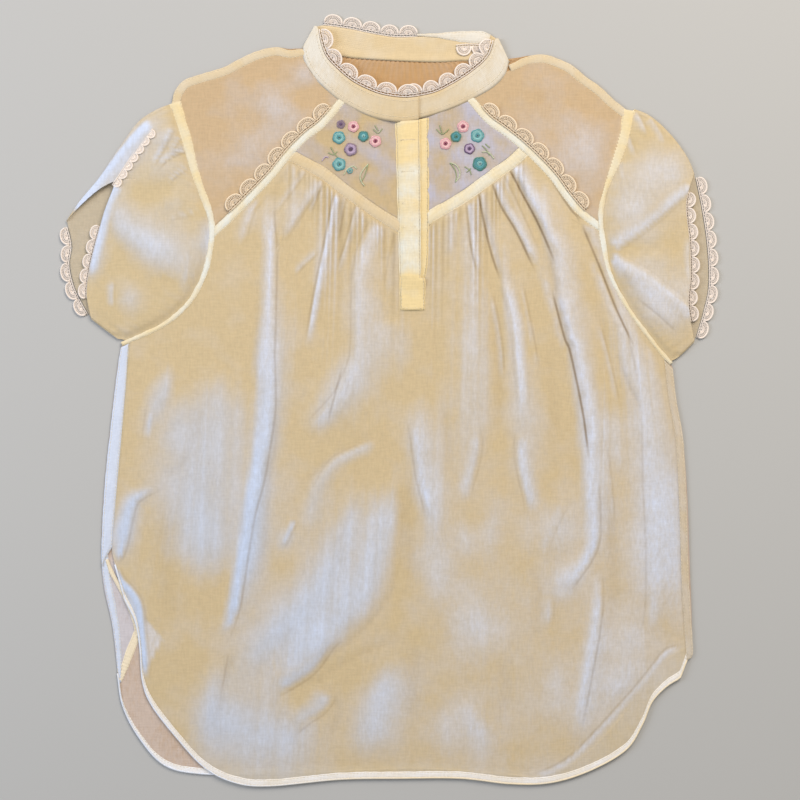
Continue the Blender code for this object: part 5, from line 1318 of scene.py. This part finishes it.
def makeLace(name, node, root, side, scallops, level, depth, rise=0.0, tone=None):
    # every scallop is a fan: a thick border arc, two inner arcs and spokes from its foot, on a
    # header of two cords with a zigzag between. s runs along the root, t outwards, and a point
    # is root(s) + side * depth * t across it.
    steps = scallops * 24
    root = resample(np.asarray(root, float), steps + 1)
    normal = leftOf(root) * side
    heights = root[:, 2] if root.shape[1] == 3 else np.full(len(root), float(level))

    def place(s, t):
        # s counts scallops
        index = np.clip(s, 0, scallops) * 24
        step = np.arange(steps + 1)
        at = np.stack([np.interp(index, step, root[:, axis]) for axis in (0, 1)], -1)
        out = np.stack([np.interp(index, step, normal[:, axis]) for axis in (0, 1)], -1)
        z = np.interp(index, step, heights) + rise * t
        return np.concatenate((at + out * depth * t[..., None], z[..., None]), -1)

    which = np.arange(scallops, dtype=float)[:, None]
    header = lace["header"]
    height = lace["border"]

    def arc(wide, tall, count):
        angle = np.linspace(0, math.pi, count)[None]
        return which + 0.5 - wide * np.cos(angle), header + tall * np.sin(angle) ** 0.85

    parts = []
    # arcs: half width and height as shares of a scallop, radius, points, sides
    for wide, tall, radius, count, sides in ((0.46, 0.68, lace["border"], 15, 6),
                                             (0.33, 0.48, lace["fine"], 11, 4),
                                             (0.22, 0.31, lace["cord"], 9, 5),
                                             (0.40, 0.58, lace["fine"], 13, 4)):
        points = place(*arc(wide, tall, count))
        points[..., 2] += height
        parts.append(tubes(points, radius, sides))
    spread = np.linspace(0.14, math.pi - 0.14, 13)[None, :, None]
    grow = np.linspace(0.1, 1, 4)
    spokeS = which[:, None] + 0.5 - 0.46 * np.cos(spread) * grow
    spokeT = header + 0.68 * np.sin(spread) ** 0.85 * grow + 0 * which[:, None]
    points = place(spokeS.reshape(-1, 4), spokeT.reshape(-1, 4))
    points[..., 2] += height
    parts.append(tubes(points, lace["fine"], 4))
    along = np.linspace(0, scallops, scallops * 6 + 1)[None]
    for t, radius in ((0.03, lace["cord"]), (header - 0.03, lace["cord"])):
        points = place(along, np.full(along.shape, t))
        points[..., 2] += height
        parts.append(tubes(points, radius, 5))
    zigzag = place(along, 0.03 + (header - 0.06) * (np.arange(along.shape[1]) % 2)[None])
    zigzag[..., 2] += height
    parts.append(tubes(zigzag, lace["fine"], 4))
    return addPiece(name, *joinParts(parts), tone or laceThread, [node], "lace")


def makeAllLace():
    # along the collar's upper edge on its left, back and right stretches, and on its turned corner
    rims = []
    for part in collarParts:
        way = part[:, 1] - part[:, 0]
        rims.append(part[:, 1] + way / np.linalg.norm(way, axis=1)[:, None] * 0.35)
    sunk = (0, 0, 0.25)
    makeLace("laceCollarLeft", "collar_lace_left", rims[0][:-3] - sunk, -1, 6, 0, 12.0, 0.6)
    makeLace("laceCollarRight", "collar_lace_right", rims[4][3:] - sunk, -1, 6, 0, 12.0, 0.6)
    makeLace("laceCollarBack", "collar_lace_back", rims[2][2:40] * (1, 1, 0), 1, 5, 0, 11.0)
    turned = curveThrough(((62, 325.0), (75, 326.0), (91, 325.0)))
    makeLace("laceCollarTurned", "collar_lace_turned", turned, -1, 2, 1.3, 11.0)
    for side, turn in (("Left", -1), ("Right", 1)):
        seam, low = seamLines["raglan" + side], side.lower()
        root = stretchOf(edges["raglanOut" + side], np.array(seam[0], float) + (0, -8), seam[-2], 90)
        makeLace("laceRaglan" + side, "raglan_lace_" + low, root, turn, 7, 2.2, 11.0, tone=laceUnder)
        ends = ((-84, 212), (-14, 166)) if side == "Left" else ((58, 173), (112, 211))
        root = stretchOf(edges["yokeDown" + side], *ends, 90)
        makeLace("laceYoke" + side, "yoke_lace_" + low, root, -1, 5, 0.8, 11.0, tone=laceUnder)
    left, right, clear = sleeves["Left"], sleeves["Right"], layers["sleeveClear"]
    # name, node, edge it is sewn to, step aside, its two ends, side, scallops, level, depth
    for name, node, edge, aside, ends, turn, scallops, level, depth in (
            ("LeftBack", "left_back", left["backEdge"], -clear, ((-295, 158), (-276, 78)), -1, 5, 0.0, 9.0),
            ("LeftFront", "left_front", left["frontEdge"], -0.3, ((-263, 158), (-277, 92)), -1, 5, 1.6, 8.0),
            ("LeftTop", "left_top", left["upper"], 14.0, ((-218, 250), (-254, 196)), 1, 7, 4.6, 7.0),
            ("RightBack", "right_back", right["backEdge"], clear, ((282, 203), (283, 56)), 1, 9, 0.0, 9.0),
            ("RightFront", "right_front", right["frontEdge"], 0.3, ((276, 190), (277, 70)), 1, 8, 1.6, 9.0)):
        root = stretchOf(stepAside(edge, aside), *ends, 90)
        makeLace("laceSleeve" + name, "sleeve_lace_" + node, root, turn, scallops, level, depth)


makeAllLace()
print("lace made")


# Hems

hems = dict(frontWidth=6.2, backWidth=5.2, thick=0.3, rim=0.85, rimSides=8)


def innerEdge(plan, heights, width):
    # on every column of a grid, the point a hem's width in from the last row
    gap = np.linalg.norm(plan - plan[-1][None], axis=2)
    row = np.argmax(gap < width, axis=0)
    column = np.arange(plan.shape[1])
    share = (gap[row - 1, column] - width) / (gap[row - 1, column] - gap[row, column])
    inner = plan[row - 1, column] * (1 - share[:, None]) + plan[row, column] * share[:, None]
    height = heights[row - 1, column] * (1 - share) + heights[row, column] * share
    return inner, height


def makeHem(name, grid, width, lift):
    # the edge of the cloth turned twice and sewn: a strip on its last rows, with a rolled rim
    plan, heights = grid[..., :2], grid[..., 2]
    inner, innerZ = innerEdge(plan, heights, width)
    outer, outerZ = plan[-1], heights[-1]
    base = np.stack((innerZ, outerZ), 1) + 0.14
    addBand(name, inner, outer, base, hems["thick"], muslinHem, (), lift=lift, stitched=0.66)
    rimZ = np.maximum(outerZ + 0.2, hems["rim"])
    rim = np.concatenate((outer * 0.96 + inner * 0.04, rimZ[:, None]), axis=1)
    points, faces = tubes(rim[None], hems["rim"], hems["rimSides"])
    # the rim's lift grows towards the left: painted cool light from the window on the left
    addPiece(name + "Rim", points, faces, muslinRolled, (), "band",
             marks=dict(lift=ease((40 - points[:, 0]) / 240)),
             uv=np.repeat(rim[:, :2], hems["rimSides"], axis=0))


def meshGrid(piece, rows, columns):
    # a cloth's grid read back from its mesh, in millimetres of the plan
    values = np.empty(len(piece.data.vertices) * 3)
    piece.data.vertices.foreach_get("co", values)
    return (values.reshape(-1, 3) / mm + garmentMiddle).reshape(rows, columns, 3)


frontGrid = meshGrid(frontCloth, front["rows"], sum(front["columns"]) - 6)
backGrid = meshGrid(backCloth, back["rows"], back["rows"])
makeHem("hemFront", frontGrid, hems["frontWidth"], 0.55)
makeHem("hemBack", backGrid, hems["backWidth"], 0.7)
print("hems made")


# Side vent on the left, and the collar's turned back edge

def stripAlong(name, rows, base, thick, material, lift, stitched=0.72):
    # a band along a line, columns x, y, width, all smooth
    line = resample(curveThrough(rows), 60)
    normal = leftOf(line)
    half = line[:, 2:3] / 2
    addBand(name, line[:, :2] + normal * half, line[:, :2] - normal * half, base, thick, material, (),
            lift=lift, stitched=stitched)


def makeFoldedParts():
    stripAlong("ventCurl", folded["curl"], 1.0, 0.6, muslinRolled, 0.1, stitched=0.6)
    stripAlong("ventBand", folded["ventBand"], 0.6, 0.4, muslinHem, -0.1)
    stripAlong("ventEdge", folded["ventEdge"], 0.5, 0.6, muslinEdge, 0.6)
    top = resample(curveThrough(folded["collarTop"]), 70)
    low = resample(curveThrough(folded["collarLow"]), 70)
    addBand("collarTurnedEdge", top, low, 0.95, 0.6, muslinStand, (), lift=0.95, stitched=0.8)


makeFoldedParts()


# Embroidery on the front yokes

embroidery = dict(
    level=1.85,
    # x, y, radius, colours of the petals, the ring and the centre
    flowers=((-43.7, 252, 4.0, "mauve", "mauve", "violet"), (-32.2, 249.8, 5.2, "pink", "rose", "magenta"),
             (-45.5, 239.8, 6.0, "aqua", "teal", "teal"), (-23, 241, 5.0, "teal", "pine", "aqua"),
             (-12, 236.4, 5.4, "pink", "rose", "magenta"), (-34.7, 228.9, 6.2, "lilac", "mauve", "violet"),
             (-45.3, 215.2, 6.3, "aqua", "teal", "teal"), (-35.4, 209.3, 2.6, "sage", "teal", "teal"),
             (68.5, 249.8, 5.5, "pink", "rose", "magenta"), (62.1, 240.6, 5.0, "teal", "pine", "pine"),
             (52.4, 234.1, 5.4, "pink", "rose", "magenta"), (81.7, 241.5, 6.4, "aqua", "teal", "teal"),
             (74.4, 229.5, 5.1, "lilac", "violet", "violet"), (83.8, 215.7, 6.8, "teal", "pine", "aqua")),
    # stems and leaf outlines, each a line of points and a colour
    stems=((((-14, 247.5), (-9.5, 243.8), (-5.5, 248)), "leaf"), (((-12.5, 251), (-9.5, 246)), "leaf"),
           (((-53, 231), (-50, 225.5), (-46.5, 221.5)), "leaf"),
           (((-55.5, 226), (-50.5, 224), (-47, 227)), "leaf"),
           (((-61, 218.5), (-58, 222), (-55, 221.5)), "lilac"),
           (((-18.5, 215.5), (-22.5, 211), (-26, 205), (-25, 199.5), (-22, 195.5)), "pale"),
           (((-18.5, 215.5), (-20.5, 209), (-22.5, 203.5), (-25, 199.5)), "leaf"),
           (((-41, 205.5), (-37.5, 211), (-32, 213.5), (-29, 211)), "pale"),
           (((44, 247.5), (49.5, 243), (55.5, 247.5)), "leaf"), (((47, 251), (49.5, 244)), "leaf"),
           (((86, 232.5), (89.5, 229), (93, 223.5)), "leaf"), (((86, 226.5), (92, 226), (97, 220.5)), "pale"),
           (((89, 234), (93, 230.5)), "leaf"), (((70, 213), (74.5, 210), (76, 205.5)), "leaf"),
           (((72, 208), (75.5, 211.5)), "leaf"),
           (((56.5, 216.8), (62, 214.5), (65.5, 209), (65, 203.5), (61.5, 198.8)), "pale"),
           (((56.5, 216.8), (61, 210.5), (62.5, 204.5), (61.5, 198.8)), "leaf")),
    colours=dict(pink="E6BDBD", rose="D9A3A8", magenta="93405A", aqua="84B9B8", teal="4B9298", pine="3F7A6C",
                 lilac="B5A0BA", mauve="85707F", violet="5E4168", sage="93A496", leaf="8E9A6E",
                 pale="BAC3A2"))


def makeEmbroidery():
    # A flower is satin stitches from its centre out to a scalloped ring of two threads,
    # r = R * (0.86 + 0.12 * |cos(2.5 * angle)|), with a coiled knot in the middle. Stems are
    # stem stitch, two threads side by side.
    threads = {colour: [] for colour in embroidery["colours"]}
    level = embroidery["level"]
    for index, (x, y, radius, petals, ring, centre) in enumerate(embroidery["flowers"]):
        turn = index * 2.4
        angle = turn + np.linspace(0, 2 * math.pi, 27)[:-1]
        edge = 0.80 + 0.12 * np.abs(np.cos(2.5 * (angle - turn)))
        share = np.array((0.30, 0.55, 0.8, 1.0))
        out = radius * edge[:, None] * share[None]
        rise = np.array((0.15, 0.75, 0.8, 0.2))
        satin = np.stack((x + np.cos(angle)[:, None] * out, y + np.sin(angle)[:, None] * out,
                          np.broadcast_to(level + rise, out.shape)), -1)
        threads[petals].append(tubes(satin, 0.055 * radius + 0.12, 5))
        round_ = np.linspace(0, 2 * math.pi, 46)
        for scale, height in ((1.0, 0.35), (0.9, 0.72)):
            wave = radius * scale * (0.84 + 0.12 * np.abs(np.cos(2.5 * round_)))
            loop = np.stack((x + np.cos(round_ + turn) * wave, y + np.sin(round_ + turn) * wave,
                             np.full(46, level + height) + 0.12 * np.sin(round_ * 11)), -1)
            threads[ring].append(tubes(loop[None], 0.34, 5))
        coil = np.linspace(0, 3.4 * math.pi, 30)
        spiral = radius * (0.34 - 0.085 * coil / math.pi * 0.8)
        knot = np.stack((x + np.cos(coil) * spiral, y + np.sin(coil) * spiral,
                         level + 0.75 + 0.05 * coil), -1)
        threads[centre].append(tubes(knot[None], 0.42, 5))
    for line, colour in embroidery["stems"]:
        path = resample(curveThrough(line), 24)
        normal = leftOf(path)
        for aside in (-0.24, 0.24):
            wave = aside * np.cos(np.linspace(0, 9 * math.pi, 24))
            thread = np.concatenate((path + normal * wave[:, None],
                                     np.full((24, 1), level + 0.35)), axis=1)
            threads[colour].append(tubes(thread[None], 0.3, 5))
    for colour, parts in threads.items():
        if parts:
            floss = cottonThread("Stranded embroidery cotton, " + colour, embroidery["colours"][colour],
                                 rough=0.55, sheen=0.4)
            addPiece("embroidery" + colour.capitalize(), *joinParts(parts), floss, (), "band")


makeEmbroidery()
sewingThread = cottonThread("Cotton sewing thread", "E2D6BC")
addPiece("seamStitches", *joinParts(stitchRows), sewingThread, (), "band")
print("embroidery and stitches made")


print("garment made")


# Floor, light and camera

stage = dict(height=1.6, centre=(9.6, -0.4), width=736.0)


def makeStage():
    floor = bpy.data.objects.new("floor", bpy.data.meshes.new("floor"))
    size = 6.0
    floor.data.from_pydata([(-size, -size, -0.0006), (size, -size, -0.0006), (size, size, -0.0006),
                            (-size, size, -0.0006)], [], [(0, 1, 2, 3)])
    bpy.context.scene.collection.objects.link(floor)
    paint = bpy.data.materials.new("Studio floor, matt painted board")
    paint.use_nodes = True
    shader = paint.node_tree.nodes["Principled BSDF"]
    shader.inputs["Base Color"].default_value = linearColour("B2B2B0")
    shader.inputs["Roughness"].default_value = 0.95
    shader.inputs["Specular IOR Level"].default_value = 0.1
    floor.data.materials.append(paint)
    world = bpy.data.worlds.new("studio")
    bpy.context.scene.world = world
    world.use_nodes = True
    world.node_tree.nodes["Background"].inputs[0].default_value = linearColour("F2F2F2")
    world.node_tree.nodes["Background"].inputs[1].default_value = 0.5
    for name, place, size, power, hexText in (("key", (0.75, 1.45, 1.5), 1.2, 44, "FFF4E6"),
                                              ("window", (-1.7, 0.3, 1.1), 1.0, 22, "E2ECFF")):
        light = bpy.data.lights.new(name, "AREA")
        light.size = size
        light.energy = power
        light.color = linearColour(hexText)[:3]
        lamp = bpy.data.objects.new(name, light)
        bpy.context.scene.collection.objects.link(lamp)
        lamp.location = place
        away = np.array(place) / np.linalg.norm(place)
        lamp.rotation_euler = (math.acos(away[2]), 0, math.atan2(away[1], away[0]) + math.pi / 2)
    view = bpy.data.cameras.new("above")
    view.sensor_width = 36.0
    view.lens = 36.0 * stage["height"] / (stage["width"] * mm)
    camera = bpy.data.objects.new("above", view)
    bpy.context.scene.collection.objects.link(camera)
    camera.location = (stage["centre"][0] * mm, stage["centre"][1] * mm, stage["height"])
    bpy.context.scene.camera = camera
    bpy.context.scene.view_settings.view_transform = "Standard"


makeStage()
print("stage made")
